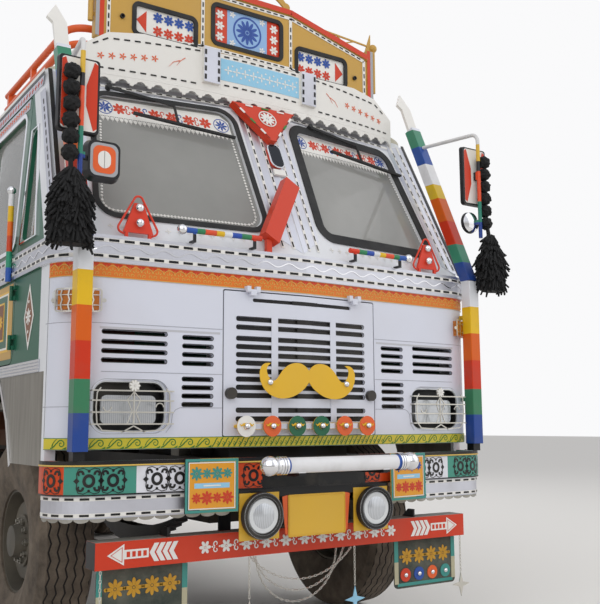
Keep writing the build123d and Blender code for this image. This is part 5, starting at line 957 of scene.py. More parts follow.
# Visor: white boards with dashed edges, stainless strips, a light-blue middle
with flat("visor_blue_panel", visor_face, sky_enamel, cuts=0.05) as shape:
    bar(shape, -0.252, 0.252, 2.940, 3.062)
with flat("visor_blue_ornament", visor_face, cream_enamel, 0.0022, cuts=0.05) as shape:
    for along in steps_from(-0.208, 0.052, 9):
        petals(shape, along, 3.001, 0.024, 4, 0.35)
        for height in (3.030, 2.972):
            disc(shape, along + 0.026, height, 0.005, segments=8)
with flat("visor_dashes", visor_face, black_enamel, 0.0014, cuts=0.05) as dark:
    for left, right, height in (
        (-0.252, 0.252, 3.074), (-0.252, 0.252, 2.913), (0.372, 0.985, 2.893), (-0.985, -0.372, 2.893),
    ):
        dashes(dark, left, right, height, 0.030, 0.054, 0.008)
    for side in sides:
        dash_line(dark, (0.372, 3.078), (0.86, 3.052), side=side)
        dash_line(dark, (0.86, 3.052), (0.985, 2.985), side=side)
with (
    flat("visor_strip_sheet", upright(-2.922), plain_stainless) as steel,
    flat("visor_strip_dashes", upright(-2.922), black_enamel, 0.0022) as dark,
):
    for side in sides:
        upright_bar(steel, side * 0.311, 0.048, 2.906, 3.099)
        for edge in (0.272, 0.350):
            for height in steps_from(2.918, 0.046, 4):
                upright_bar(dark, side * edge, 0.006, height, height + 0.028)
with flat("visor_board_ornament", visor_face, orange_enamel, 0.0012, cuts=0.05) as leaf:
    for side in sides:
        ribbon(leaf, ((0.455, 3.02), (0.481, 3.000), (0.503, 2.968)), 0.004, 0.001, side=side)
        ribbon(leaf, ((0.485, 3.00), (0.521, 2.985), (0.545, 2.955)), 0.004, 0.001, side=side)
        for index in range(6):
            petals(leaf, side * (0.62 + index * 0.055), 2.985 - index * 0.006, 0.019, 5, 0.36)


# Windscreens: banner with lace along the top, white lace round the glass
def screen_edges(side, inset, radius):
    """One windscreen's outline with rounded corners, brought in by an inset."""
    centre = Vector((0.573, 2.406))
    corners = []
    for along, height in ((0.145, 2.038), (1.032, 2.038), (0.948, 2.768), (0.168, 2.790)):
        x = along + math.copysign(inset, centre.x - along)
        corners.append(Vector((x, height + math.copysign(inset, centre.y - height))))
    points = []
    for index, corner in enumerate(corners):
        start = corner + (corners[index - 1] - corner).normalized() * radius
        end = corner + (corners[(index + 1) % 4] - corner).normalized() * radius
        for step in range(7):
            part = step / 6
            bend = start.lerp(corner, part).lerp(corner.lerp(end, part), part)
            points.append(Vector((side * bend.x, bend.y)))
    return points


lace_top = 2.600
banner_middle = 2.686
banner_sheet = (
    (0.206, 2.632), (0.934, 2.632), (0.926, 2.700), (0.890, 2.735), (0.250, 2.752), (0.208, 2.715),
)
with (
    flat("screen_banner", screen, cream_enamel, -0.0185, 0.001) as banner,
    flat("screen_banner_blue", screen, blue_enamel, -0.0172, 0.001) as blue,
    flat("screen_banner_red", screen, red_enamel, -0.0172, 0.001) as red,
    flat("screen_lace", screen, cream_enamel, -0.0172, 0.001) as lace,
):
    for side in sides:
        for along in steps_from(0.216, 0.0235, 30):
            disc(lace, side * along, 2.618, 0.0105, segments=8)
            ribbon(lace, ((along - 0.012, 2.630), (along, 2.600), (along + 0.012, 2.630)), 0.003, side=side)
        outline(banner, banner_sheet, side)
        for along in (0.255, 0.880):
            petals(blue, side * along, banner_middle, 0.034, 8)
            ribbon(blue, arc_points(side * along, banner_middle, 0.041, 0, 340, 18), 0.004, closed=True)
        for index in range(6):
            middle = 0.345 + index * 0.092
            petals(red, side * middle, banner_middle, 0.034, 7, 0.5)
            for up in sides:
                spot = (side * (middle + 0.046), banner_middle + up * 0.015)
                curl = arc_points(*spot, 0.014, up * 250, up * -60, 10, 0.45)
                ribbon(blue if index % 2 else red, curl, 0.006, 0.004)
        edge = screen_edges(side, 0.052, 0.0738)
        for point, following in zip(edge, edge[1:] + edge[:1]):
            run = following - point
            count = max(int(run.length / 0.017), 1)
            for step in range(count):
                place = point + run * step / count
                if place.y < lace_top:
                    disc(lace, *place, 0.0062, segments=6)
            if point.y < lace_top and following.y < lace_top:
                ribbon(lace, (point, following), 0.0028)

# Stainless strips with dashes on the pillars beside the windscreens and above them
inner_sheet = ((0.004, 1.945), (0.130, 2.030), (0.148, 2.800), (0.004, 2.840))
outer_sheet = ((1.052, 2.000), (1.186, 1.950), (1.132, 2.845), (0.968, 2.800))
upper_sheet = ((0.160, 2.800), (0.980, 2.778), (0.985, 2.842), (0.150, 2.846))
with (
    flat("pillar_sheet", screen, stainless, 0.0006) as steel,
    flat("pillar_white_lines", screen, cream_enamel, 0.0020) as light,
    flat("pillar_dashes", screen, black_enamel, 0.0034) as dark,
    flat("pillar_black_line", screen, black_enamel, 0.0022, 0.003) as edge,
):
    for side in sides:
        for sheet in (inner_sheet, outer_sheet, upper_sheet):
            outline(steel, sheet, side)
        for along in (0.046, 0.106):
            ribbon(light, ((along, 1.965), (along + 0.006, 2.815)), 0.016, side=side)
            dash_line(dark, (along, 1.975), (along + 0.006, 2.815), deep=0.0075, side=side)
        for foot, head in ((1.092, 1.008), (1.145, 1.072)):
            ribbon(light, ((foot, 1.985), (head, 2.830)), 0.018, side=side)
            dash_line(dark, (foot, 1.99), (head, 2.825), deep=0.0075, side=side)
        ribbon(light, ((0.180, 2.818), (0.975, 2.798)), 0.014, side=side)
        dash_line(dark, (0.185, 2.818), (0.970, 2.798), deep=0.007, side=side)
        ribbon(edge, ((1.180, 1.950), (1.128, 2.850)), 0.020, side=side)
        for along in steps_from(0.205, 0.054, 15):
            petals(light, side * along, 1.992, 0.014, 4, 0.4)

# Triangular box: rosette and short light strips round its edges
with (
    flat("box_white_marks", box_face, cream_enamel, box_front + 0.0008, 0.003) as white,
    flat("box_dark_marks", box_face, black_enamel, box_front + 0.0008) as dark,
    flat("box_green_marks", box_face, leaf_enamel, box_front + 0.0008, 0.003) as green,
):
    petals(white, 0, 2.745, 0.046, 10, 0.32)
    disc(dark, 0, 2.745, 0.014)
    ribbon(white, arc_points(0, 2.745, 0.052, 0, 345, 24), 0.006, closed=True)
    for side in sides:
        for shape, part in ((white, 0.16), (green, 0.44), (white, 0.72)):
            strip = [(0.014 + 0.174 * run, 2.592 + 0.228 * run) for run in (part, part + 0.13)]
            ribbon(shape, strip, 0.012, side=side)
        ribbon(dark, ((0.020, 2.600), (0.186, 2.818)), 0.0025, side=side)
    for shape, along in ((white, -0.12), (green, -0.02), (white, 0.08)):
        bar(shape, along, along + 0.045, 2.812, 2.822)

# Chrome balls on the horn plates and the rod ends
with solid("chrome_balls", chrome, smooth=True) as shape:
    for side in sides:
        for x, ahead, height, radius in (
            (0.859, -0.037, 2.070, 0.0205), (0.859, -0.031, 2.000, 0.0205), (0.672, 0.014, 1.985, 0.0245),
        ):
            ball(shape, (side * x, nose - ahead, height), radius)

# Hatch: coloured discs with chrome bosses and small moustaches, dark latch knobs
disc_row = 1.096
disc_y = nose - 0.046
disc_places = steps_from(-0.35, 0.140, 6)
for paint, chosen in ((cream_enamel, (0,)), (orange_enamel, (1, 4, 5)), (disc_green, (2, 3))):
    name = f"hatch_discs_{paint.name}"
    with flat(name, upright(disc_y), paint, 0.0006, 0.003, "hatch") as shape:
        for index in chosen:
            disc(shape, disc_places[index], disc_row, 0.0485, segments=32)
with (
    flat("disc_moustaches", upright(nose - 0.050), yellow_enamel, 0.0008, 0.003, "hatch") as shape,
    solid("hatch_bosses", chrome, "hatch", True) as bosses,
    flat("latch_caps", upright(nose - 0.0165), dark_cap, -0.0222, 0.0232, "hatch") as caps,
    flat("disc_bar_sheet", upright(nose - 0.0388), plain_stainless, 0.0, body="hatch") as sheet,
):
    bar(sheet, -0.390, 0.390, 1.083, 1.109)
    for along in disc_places:
        for side in sides:
            whisker = ((0.004, 1.098), (0.016, 1.106), (0.029, 1.098), (0.036, 1.106))
            ribbon(shape, beside(along, whisker, side), 0.014, 0.003)
        ball(bosses, (along, nose - 0.056, disc_row), 0.0155, 20, 10)
    for side in sides:
        ball(bosses, (side * 0.222, disc_y, 1.300), 0.016, 20, 10)
        disc(caps, side * 0.408, 1.247, 0.027, segments=28)

# Head lamps: black recess with a liner, white rim, fluted lens, wire guard with scrolls
lamp_middle = 0.8835
lamp_face = upright(nose - 0.015 + 0.055 * 1.062)
guard_edge = ((0.150, 1.262), (0.166, 1.240), (0.170, 1.180), (0.164, 1.110), (0.140, 1.082), (0, 1.074))
guard_wires = (
    (0.0045, ((0, 1.246), (0.030, 1.212), (0.008, 1.160), (0.030, 1.108))),
    (0.005, ((0, 1.100), (0.055, 1.072))),
    (0.005, guard_edge),
)
with (
    flat("lamp_recess", lamp_face, lamp_black, -0.052, 0.003) as recess,
    flat("lamp_liner", lamp_face, lamp_black, -0.050, 0.044) as liner,
    flat("lamp_rim", lamp_face, white_enamel, -0.006, 0.007) as rim,
    flat("lamp_lens", lamp_face, fluted_lens, -0.0115, 0.002) as lens,
    flat("guard_rosettes", upright(nose - 0.0075), cream_enamel, 0.0008, 0.004) as flowers,
    flat("guard_scrolls", upright(nose - 0.0030), wire_metal, 0.0008, 0.004) as wires,
):
    for side in sides:
        middle = side * lamp_middle
        outline(recess, rounded_points(middle - 0.163, middle + 0.163, 1.082, 1.286, 0.054))
        ring(liner, middle - 0.1625, middle + 0.1625, 1.0825, 1.2855, 0.003, 0.054)
        ring(rim, middle - 0.174, middle + 0.174, 1.071, 1.297, 0.006, 0.066)
        outline(lens, rounded_points(middle - 0.128, middle + 0.128, 1.108, 1.232, 0.026))
        petals(flowers, middle, 1.272, 0.026, 9, 0.6)
        for turn in sides:
            for width, line in guard_wires:
                ribbon(wires, beside(middle, line, turn), width)
            bow = arc_points(middle + turn * 0.120, 1.180, 0.018, 90 - turn * 90, 270 - turn * 90, 8)
            ribbon(wires, bow, 0.0045)

# Corner indicators: amber lenses in wire cages
with (
    flat("indicator_lenses", face, amber_plastic, -0.004, 0.036, cuts=0.02) as amber,
    flat("indicator_cages", face, wire_metal, 0.0335, 0.004, cuts=0.03) as cage,
):
    for side in sides:
        low, high = sorted((side * 1.034, side * 1.206))
        bar(amber, low + 0.008, high - 0.008, 1.592, 1.676)
        ring(cage, low, high, 1.585, 1.683, 0.0055, 0.012)
        for step in range(1, 6):
            spot = low + (high - low) * step / 6
            wire = ((0, 1.586), (-0.006, 1.612), (0, 1.634), (-0.006, 1.656), (0, 1.682))
            ribbon(cage, beside(spot, wire), 0.0050)
        for height in (1.612, 1.656):
            bar(cage, low, high, height - 0.0016, height + 0.0016)
        for edge in (low - 0.010, high + 0.010):
            disc(cage, edge, 1.634, 0.009, segments=10)


# Plates: teal-framed signs with plain ornament, the number plate's rim, fog lamps
def sign_plane(side, tilt=math.radians(6)):
    """The face of one sign plate, which turns a little outward."""
    origin = Vector((side * 0.558, nose - 0.110, 0.842))
    across = Vector((math.cos(tilt), side * math.sin(tilt), 0))
    out = Vector((side * math.sin(tilt), -math.cos(tilt), 0))
    return lambda along, height, lift: origin + across * along + Vector((0, 0, height)) + out * lift


for side, name in hands:
    sign = sign_plane(side)
    upper_paint = teal_enamel if side < 0 else blue_enamel
    with (
        flat(f"sign_frame_{name}", sign, teal_enamel, 0.0008, 0.002) as rim,
        flat(f"sign_line_{name}", sign, cream_enamel, 0.0022, 0.001) as line,
        flat(f"sign_field_{name}", sign, sign_yellow, 0.0008, 0.001) as field,
        flat(f"sign_bar_{name}", sign, sky_enamel, 0.0014, 0.0008) as stripe,
        flat(f"sign_upper_{name}", sign, upper_paint, 0.0022) as upper,
        flat(f"sign_lower_{name}", sign, red_enamel, 0.0022) as lower,
    ):
        ring(rim, -0.118, 0.118, -0.109, 0.109, 0.016)
        ring(line, -0.107, 0.107, -0.098, 0.098, 0.006)
        bar(line, -0.040, 0.040, -0.003, 0.003)
        bar(field, -0.105, 0.105, -0.096, 0.096)
        bar(stripe, -0.082, 0.082, -0.011, 0.011)
        for index, along in enumerate(steps_from(-0.072, 0.048, 4)):
            petals(upper, along, 0.052, 0.030 - 0.007 * (index % 2), 8, 0.5)
            petals(lower, along, -0.052, 0.023 + 0.007 * (index % 2), 8, 0.5)
shell_profile = (
    (0.1015, -0.013), (0.1032, 0.000), (0.1030, 0.017), (0.0970, 0.0235), (0.0860, 0.0225), (0.0770, 0.0130),
    (0.0770, 0.0085),
)
lens_profile = (
    (0.0, 0.0240), (0.030, 0.0222), (0.055, 0.0172), (0.0772, 0.0100), (0.0772, 0.0088), (0.0, 0.0088),
)
with (
    flat("number_plate_rim", upright(nose - 0.108), plate_paint, 0.0004, 0.002) as rim,
    flat("number_plate_backing", upright(nose - 0.1045), orange_enamel, -0.002, 0.002) as backing,
    solid("fog_shells", lamp_black, smooth=True) as shells,
    solid("fog_lenses", fluted_lens, smooth=True) as lenses,
):
    ring(rim, -0.157, 0.157, 0.598, 0.778, 0.0024, 0.010, 3)
    for side in sides:
        outline(backing, ((0.164, 0.600), (0.176, 0.612), (0.192, 0.776), (0.164, 0.782)), side)
        spot = (side * 0.318, -3.453, 0.701)
        turned(shells, spot, shell_profile)
        turned(lenses, spot, lens_profile)

# Chromed ends on the bumper tube
tube_y, tube_height = nose - 0.319, 0.927
with solid("tube_ends", chrome, smooth=True) as shape:
    for side in sides:
        ball(shape, (side * 0.392, tube_y, tube_height), 0.0430, 32, 18)
        for along, reach, width in (
            (0.344, 0.0400, 0.010), (0.331, 0.0400, 0.010), (0.318, 0.0400, 0.010), (0.352, 0.0360, 0.020),
        ):
            place = Matrix.Translation((side * along, tube_y, tube_height)) @ sideways
            cone(shape, place, reach, reach, width, 40)

# Red step board: feathered arrows at both ends, rosettes and curls between, grey top edge, black caps of
# painted shade on its open ends
board_face = upright(nose + 0.003)
board_middle = 0.566
arrow_tip = 0.985
beam_y = -3.262
with (
    flat("board_arrows", board_face, cream_enamel) as white,
    flat("board_arrow_fields", board_face, red_enamel, 0.0022) as red,
):
    for side in sides:
        tip = side * arrow_tip
        outline(white, beside(tip, ((0, 0), (0.075, 0.044), (0.075, -0.044)), -side, board_middle))
        bar(white, tip - side * 0.0755, tip - side * 0.186, board_middle - 0.019, board_middle + 0.019)
        for near in steps_from(0.190, 0.030, 4):
            for up in sides:
                feather = ((0, 0), (0.022, 0), (0.044, 0.038), (0.022, 0.038))
                outline(white, beside(tip - side * near, feather, -side, board_middle, up))
        barb = ((0.016, 0), (0.066, 0.030), (0.066, -0.030))
        ribbon(red, beside(tip, barb, -side, board_middle), 0.004, closed=True)
        for near in steps_from(0.086, 0.025, 4):
            ends = (tip - side * near, tip - side * (near + 0.015))
            bar(red, *ends, board_middle - 0.011, board_middle + 0.011)
with flat("board_ornament", board_face, cream_enamel) as white:
    for index in range(-5, 6):
        middle = index * 0.106
        petals(white, middle, board_middle, 0.030, 6, 0.5)
        if index < 5:
            for up in sides:
                spot = (middle + 0.053, board_middle + up * 0.013)
                ribbon(white, arc_points(*spot, 0.0125, up * 250, up * -60, 10, 0.45), 0.0058, 0.004)
            for gap in (0.036, 0.072):
                disc(white, middle + gap, board_middle, 0.004, segments=8)
# Black caps on the board's open ends: painted shade, so they read as the board's depth in shadow
with (
    solid("board_ends", black_enamel) as ends,
    solid("board_top_dust", edge_grey) as dust,
):
    for side in sides:
        beam(ends, (side * 1.0362, beam_y, 0.5095), (side * 1.0362, beam_y, 0.6205), 0.0008, 0.106)
    place = Matrix.Translation((0, beam_y, 0.6216)) @ Matrix.Diagonal((2.068, 0.108, 1, 1))
    bmesh.ops.create_grid(dust, x_segments=1, y_segments=1, size=0.5, matrix=place)
    bmesh.ops.solidify(dust, geom=dust.faces[:], thickness=0.001)

# Chains: real links along the swags and strings, star pendants at the strings' ends
link = bmesh.new()
place = Matrix.Translation((0.0052, 0, 0)) @ forward
bmesh.ops.create_circle(link, segments=6, radius=0.0017, matrix=place)
wire = link.verts[:] + link.edges[:]
bmesh.ops.spin(link, geom=wire, axis=(0, 0, 1), angle=2 * math.pi, steps=12, use_merge=True)
bmesh.ops.remove_doubles(link, verts=link.verts[:], dist=0.00002)
bmesh.ops.scale(link, vec=(0.85, 1.65, 1), verts=link.verts[:])
link_mesh = bpy.data.meshes.new("chain_link")
link.to_mesh(link_mesh)
link.free()


def chain(shape, points, pitch=0.0170):
    """Lays oval links along a line of points, each turned a quarter from the last."""
    run = pitch / 2
    count = 0
    for start, end in zip(points, points[1:]):
        path = end - start
        slope = path.to_track_quat("Y", "Z").to_matrix().to_4x4()
        while run < path.length:
            first = len(shape.verts)
            shape.from_mesh(link_mesh)
            shape.verts.ensure_lookup_table()
            place = Matrix.Translation(start + path * (run / path.length)) @ slope
            roll = Matrix.Rotation(math.radians(90 * (count % 2)), 4, "Y")
            bmesh.ops.transform(shape, matrix=place @ roll, verts=shape.verts[first:])
            run += pitch
            count += 1
        run -= path.length


strings = (-1.010, -0.300, 0.300, 1.010)
string_y = -3.312
shape = bmesh.new()
for row, drop in enumerate((0.130, 0.185, 0.240)):
    half = 0.290 - row * 0.030
    sag = drop - 0.004
    radius = (half * half + sag * sag) / (2 * sag)
    y = nose + 0.020 + row * 0.024
    leans = [math.asin(half / radius) * (step / 12 - 1) for step in range(25)]
    low = 0.509 - drop + radius
    chain(shape, [Vector((radius * math.sin(lean), y, low - radius * math.cos(lean))) for lean in leans])
for along in strings:
    chain(shape, [Vector((along, string_y, 0.507)), Vector((along, string_y, 0.312))])
links = place_piece("chain_links", shape, wire_metal)
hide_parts("front_chains")
for along in strings:
    paint = sky_enamel if along == 0.300 else wire_metal
    with flat(f"star_pendant_{int(along * 1000)}", upright(-3.310), paint, 0.0, 0.004) as shape:
        star = []
        for index in range(8):
            reach = 0.018 if index % 2 else 0.062
            turn = index * math.pi / 4
            star.append((along + reach * math.sin(turn), 0.255 + reach * math.cos(turn)))
        outline(shape, star)

# Front mud flaps: painted borders, coloured bosses on the left one
flap_face = upright(-3.266)
flap_middle = 0.8
boss_places = steps_from(flap_middle - 0.138, 0.092, 4)
with (
    flat("flap_green", flap_face, teal_enamel) as green,
    flat("flap_cream", flap_face, dusty_cream) as cream,
    flat("flap_ornament", flap_face, flap_gold) as gold,
):
    for side in sides:
        middle = side * flap_middle
        for edge in (0.197, -0.197):
            upright_bar(green, middle + edge, 0.013, 0.395, 0.500)
            upright_bar(cream, middle + edge, 0.013, 0.285, 0.395)
        upright_bar(green, middle, 0.19, 0.272, 0.288)
        for along in steps_from(middle - 0.126, 0.084, 4):
            petals(gold, along, 0.420, 0.042, 8, 0.55)
        for along in steps_from(middle - 0.168, 0.084, 5):
            disc(gold, along, 0.420, 0.008, segments=10)
for index, paint in enumerate((red_enamel, blue_enamel, orange_enamel, teal_enamel)):
    with flat(f"flap_disc_{index + 1}", flap_face, paint, 0.0008, 0.004) as shape:
        disc(shape, boss_places[index], 0.328, 0.034, segments=24)
with solid("flap_bosses", chrome, smooth=True) as shape:
    for along in boss_places:
        ball(shape, (along, -3.270, 0.328), 0.013, 16, 8)

# Mirrors: white backs with red side triangles, the round mirror, the low mirror's painted back
mirror_middle = 1.175
mirror_face = upright(-3.3482)
triangle = ((0.080, 2.372), (0.080, 2.662), (0.064, 2.672), (0.030, 2.560), (0.030, 2.470), (0.064, 2.360))
with (
    flat("mirror_backs", mirror_face, cream_enamel) as white,
    flat("mirror_triangles", mirror_face, red_enamel, 0.0022) as red,
):
    for side in sides:
        middle = side * mirror_middle
        outline(white, rounded_points(middle - 0.080, middle + 0.080, 2.356, 2.676, 0.016))
        for turn in sides:
            outline(red, beside(middle, triangle, turn))
with solid("round_mirror", chrome, smooth=True) as shape:
    cap = 0.1050
    ball(shape, (0, 0, 0), 0.120, 32, 20)
    geometry = shape.verts[:] + shape.edges[:] + shape.faces[:]
    bmesh.ops.bisect_plane(shape, geom=geometry, plane_co=(0, 0, cap), plane_no=(0, 0, 1), clear_inner=True)
    place = Matrix.Translation((1.130, -3.3545 + cap, 2.240)) @ forward
    bmesh.ops.transform(shape, verts=shape.verts[:], matrix=place)
    bmesh.ops.solidify(shape, geom=shape.faces[:], thickness=-0.001)
for name, inset, paint, lift in (
    ("grey", 0.010, grey_enamel, 0.0006),
    ("band", 0.022, orange_enamel, 0.0020),
    ("field", 0.044, cream_enamel, 0.0034),
):
    with flat(f"low_mirror_{name}", upright(-3.3600), paint, lift) as shape:
        outline(shape, rounded_points(-1.133 + inset, -0.987 - inset, 2.157 + inset, 2.323 - inset, 0.030))
with (
    flat("pillar_mirror_rim", pillar_mirror_face, chrome, 0.0008, 0.004) as rim,
    flat("pillar_mirror_glass", pillar_mirror_face, mirror_glass) as glass,
    flat("pillar_mirror_foot", pillar_mirror_face, cream_enamel, -0.0150, 0.012) as foot,
):
    ring(rim, -0.040, 0.040, 2.437, 2.583, 0.006, 0.036)
    outline(glass, rounded_points(-0.037, 0.037, 2.440, 2.580, 0.034))
    bar(foot, -0.036, 0.036, 2.395, 2.428)

# Visor fascia: a white sheet with pointed arches along its foot
arch_count = 22
arch_pitch = 2 * 1.010 / arch_count
half_arch = ((0, 2.818), (0.008, 2.820), (0.011, 2.829), (0.022, 2.832), (0.030, 2.843))
shape = bmesh.new()
for left in steps_from(-1.010, arch_pitch, arch_count):
    right = left + arch_pitch
    rising = beside(left, half_arch)
    falling = beside(right, reversed(half_arch), -1)
    peak = [(left + arch_pitch / 2, 2.8475)]
    outline(shape, [(right, 2.8597), (left, 2.8597)] + rising + peak + falling)
bmesh.ops.remove_doubles(shape, verts=shape.verts[:], dist=0.0005)
fascia = finish("visor_fascia", shape, visor_face, cream_enamel, -0.0083, 0.008, cuts=0.03)
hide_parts("visor_fringe")

# Striped corner poles with arrow blades, and their brackets
pole_x, pole_y = 1.128, -3.328
lean_head = Vector((1.112, -2.889, 2.912))
pole_width = 0.068
shape = bmesh.new()
for side in sides:
    mirror = Matrix.Diagonal((side, 1, 1, 1))
    beam(shape, (side * pole_x, pole_y, 0.995), (side * pole_x, pole_y, 1.900), pole_width, pole_width)
    beam(shape, mirror @ Vector((pole_x, pole_y, 1.894)), mirror @ lean_head, pole_width, 0.066)
    beam(shape, (side * pole_x, nose, 0.9575), (side * pole_x, nose, 0.996), 0.050, 0.050)
    for height in (1.240, 1.700):
        beam(shape, (side * pole_x, pole_y, height), (side * pole_x, -3.245, height), 0.024, 0.024)
long_edges = [edge for edge in shape.edges if edge.calc_length() > 0.5]
bmesh.ops.bevel(
    shape, geom=long_edges, offset=0.004, offset_type="OFFSET", segments=2, profile=0.5, affect="EDGES",
    material=-1,
)
poles = place_piece("poles", shape, pole_bands)
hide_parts("striped_poles")
blade = ((-0.034, -0.004), (-0.031, 0.165), (-0.058, 0.198), (-0.006, 0.292), (0.040, 0.176), (0.034, -0.004))
for side, name in hands:
    blade_face = sloped(Vector((side * lean_head.x, lean_head.y, lean_head.z)), math.radians(23))
    with flat(f"pole_blade_{name}", blade_face, cream_enamel, -0.009, 0.018) as shape:
        outline(shape, blade)

# Yarn: pompons with ragged loops, long brushes of strands
yarn_seed = random.Random(7)
rod_x = 1.2193
brush_x, brush_y = 1.219, -3.415
shape = bmesh.new()
for side in sides:
    for index in range(6):
        centre = Vector((side * rod_x, -3.382, 2.600 - index * 0.072))
        place = Matrix.Translation(centre)
        for vert in bmesh.ops.create_icosphere(shape, subdivisions=3, radius=0.036, matrix=place)["verts"]:
            vert.co = centre + (vert.co - centre) * yarn_seed.uniform(0.86, 1.13)
    for index in range(900):
        high = yarn_seed.uniform(0, 1)
        angle = yarn_seed.uniform(0, 2 * math.pi)
        bulge = (0.022 + 0.060 * min(high * 2.4, 1)) * yarn_seed.uniform(0.6, 1.0)
        x, y = bulge * math.cos(angle), 0.6 * bulge * math.sin(angle)
        head = Vector((side * brush_x + x, brush_y + y, 2.165 - 0.285 * high))
        sway = [yarn_seed.uniform(-0.45, 0.45) for step in range(3)]
        outward = Vector((0.45 * math.cos(angle), 0.3 * math.sin(angle), -0.9))
        path = outward + Vector((sway[0], 0.6 * sway[1], sway[2]))
        path *= yarn_seed.uniform(0.035, 0.062)
        path.x = max(-0.0985 - x, min(0.0985 - x, path.x))
        path.y = max(-3.478 - head.y, path.y)
        turn = path.to_track_quat("Z", "Y").to_matrix().to_4x4()
        cone(shape, Matrix.Translation(head + path / 2) @ turn, 0.0075, 0.0050, path.length, 5)
    for top, foot, near, far in ((2.150, 1.990, 0.024, 0.074), (1.990, 1.840, 0.074, 0.078)):
        middle = (side * brush_x, brush_y, (top + foot) / 2)
        core = Matrix.Translation(middle) @ Matrix.Diagonal((1, 0.6, 1, 1))
        cone(shape, core, far, near, top - foot, 16)
    beam(shape, (side * rod_x, -3.390, 2.230), (side * rod_x, -3.405, 2.145), 0.016, 0.016)
tufts = place_piece("yarn_tassels", shape, yarn)
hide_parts("tassels")

# Cab sides: grab bars, nested painted fields on the doors, window frames, dashed pillar strip, moulding
door_layers = (
    ("ochre", ochre_enamel, (-2.575, -1.845, 1.425, 1.795)),
    ("yellow_line", yellow_enamel, (-2.515, -1.905, 1.463, 1.765)),
    ("white_line", cream_enamel, (-2.500, -1.920, 1.475, 1.755)),
    ("green", green_enamel, (-2.487, -1.933, 1.485, 1.745)),
    ("gold_line", yellow_enamel, (-2.440, -1.980, 1.520, 1.715)),
    ("brown", brown_enamel, (-2.428, -1.992, 1.530, 1.705)),
)
gutter_layers = (
    ("sheet", stainless, 2.765, 2.815),
    ("black", black_enamel, 2.818, 2.835),
    ("white", cream_enamel, 2.838, 2.856),
)
corner_back, cab_back = -3.040, -1.450
quarter_light = ((-2.893, 1.978), (-2.640, 1.978), (-2.666, 2.552), (-2.772, 2.552))
diamond_x, diamond_z = -2.855, 1.600
for side, name in hands:
    wall = flank(side)
    door = f"door_{name}"
    with solid(f"grab_bar_{name}", grab_bands, door) as shape:
        cone(shape, Matrix.Translation((side * 1.236, -2.565, 2.028)), 0.0142, 0.0142, 0.456, 24)
    with solid(f"grab_bar_ball_{name}", chrome, door, True) as shape:
        ball(shape, (side * 1.236, -2.565, 2.260), 0.0225)
    for index, (layer, paint, edges) in enumerate(door_layers):
        with flat(f"door_{layer}_{name}", wall, paint, 0.0006 + index * 0.0008, 0.0008, door) as shape:
            bar(shape, *edges)
    with flat(f"door_rosettes_{name}", wall, yellow_enamel, 0.0056, body=door) as shape:
        for along in steps_from(-2.385, 0.0875, 5):
            petals(shape, along, 1.6175, 0.036, 8, 0.34)
            for height in (1.668, 1.567):
                disc(shape, along + 0.044, height, 0.006, segments=8)
    with flat(f"door_window_frame_{name}", wall, chrome, 0.0006, 0.006, door) as shape:
        ring(shape, -2.543, -1.887, 1.972, 2.683, 0.022, 0.062)
    with flat(f"door_top_sheet_{name}", wall, stainless, body=door) as shape:
        bar(shape, -2.560, -1.860, 2.700, 2.752)
    flower_paint = orange_enamel if side < 0 else blue_enamel
    with flat(f"door_top_flowers_{name}", wall, flower_paint, 0.0022, body=door) as shape:
        for along in steps_from(-2.530, 0.043, 16):
            petals(shape, along, 2.726, 0.017, 5, 0.4)
    for label, paint, lift, across, up in (
        ("diamond", cream_enamel, 0.0008, 0.075, 0.154),
        ("diamond_field", brown_enamel, 0.0022, 0.057, 0.118),
    ):
        with flat(f"{label}_{name}", wall, paint, lift) as shape:
            corners = ((-across, 0), (0, up), (across, 0), (0, -up))
            outline(shape, beside(diamond_x, corners, 1, diamond_z))
    with flat(f"diamond_ornament_{name}", wall, cream_enamel, 0.0036) as shape:
        petals(shape, diamond_x, diamond_z, 0.040, 8)
        for rise in (-0.070, 0.070):
            disc(shape, diamond_x, diamond_z + rise, 0.008, segments=10)
    with flat(f"quarter_frame_{name}", wall, chrome, 0.0006, 0.008) as shape:
        ribbon(shape, quarter_light, 0.022, closed=True)
    with flat(f"pillar_side_sheet_{name}", wall, stainless) as shape:
        outline(shape, ((-3.085, 1.985), (-3.165, 1.985), (-2.800, 2.735), (-2.720, 2.735)))
    with flat(f"pillar_side_dashes_{name}", wall, black_enamel, 0.0022) as shape:
        dash_line(shape, (-3.125, 2.00), (-2.765, 2.725), 0.030, 0.052, 0.010)
    for label, paint, low, high in gutter_layers:
        with flat(f"gutter_{label}_{name}", wall, paint, 0.0006, 0.002) as shape:
            bar(shape, -2.755, cab_back, low, high)
    with flat(f"gutter_flowers_{name}", wall, red_enamel, 0.0030) as shape:
        for along in steps_from(-2.730, 0.050, 26):
            petals(shape, along, 2.790, 0.016, 4, 0.45)
    with flat(f"moulding_{name}", wall, plain_stainless, 0.0008, 0.003) as shape:
        bar(shape, corner_back, cab_back, 1.337, 1.394)
    with flat(f"moulding_ribs_{name}", wall, chrome, 0.0036, 0.004) as shape:
        for height in steps_from(1.3395, 0.0145, 4):
            bar(shape, corner_back, cab_back, height, height + 0.008)
    with flat(f"arch_strip_{name}", wall, chrome, 0.0008, 0.004) as shape:
        ribbon(shape, ((-2.400, 1.322), (-2.548, 1.130), (-2.634, 0.915)), 0.022)

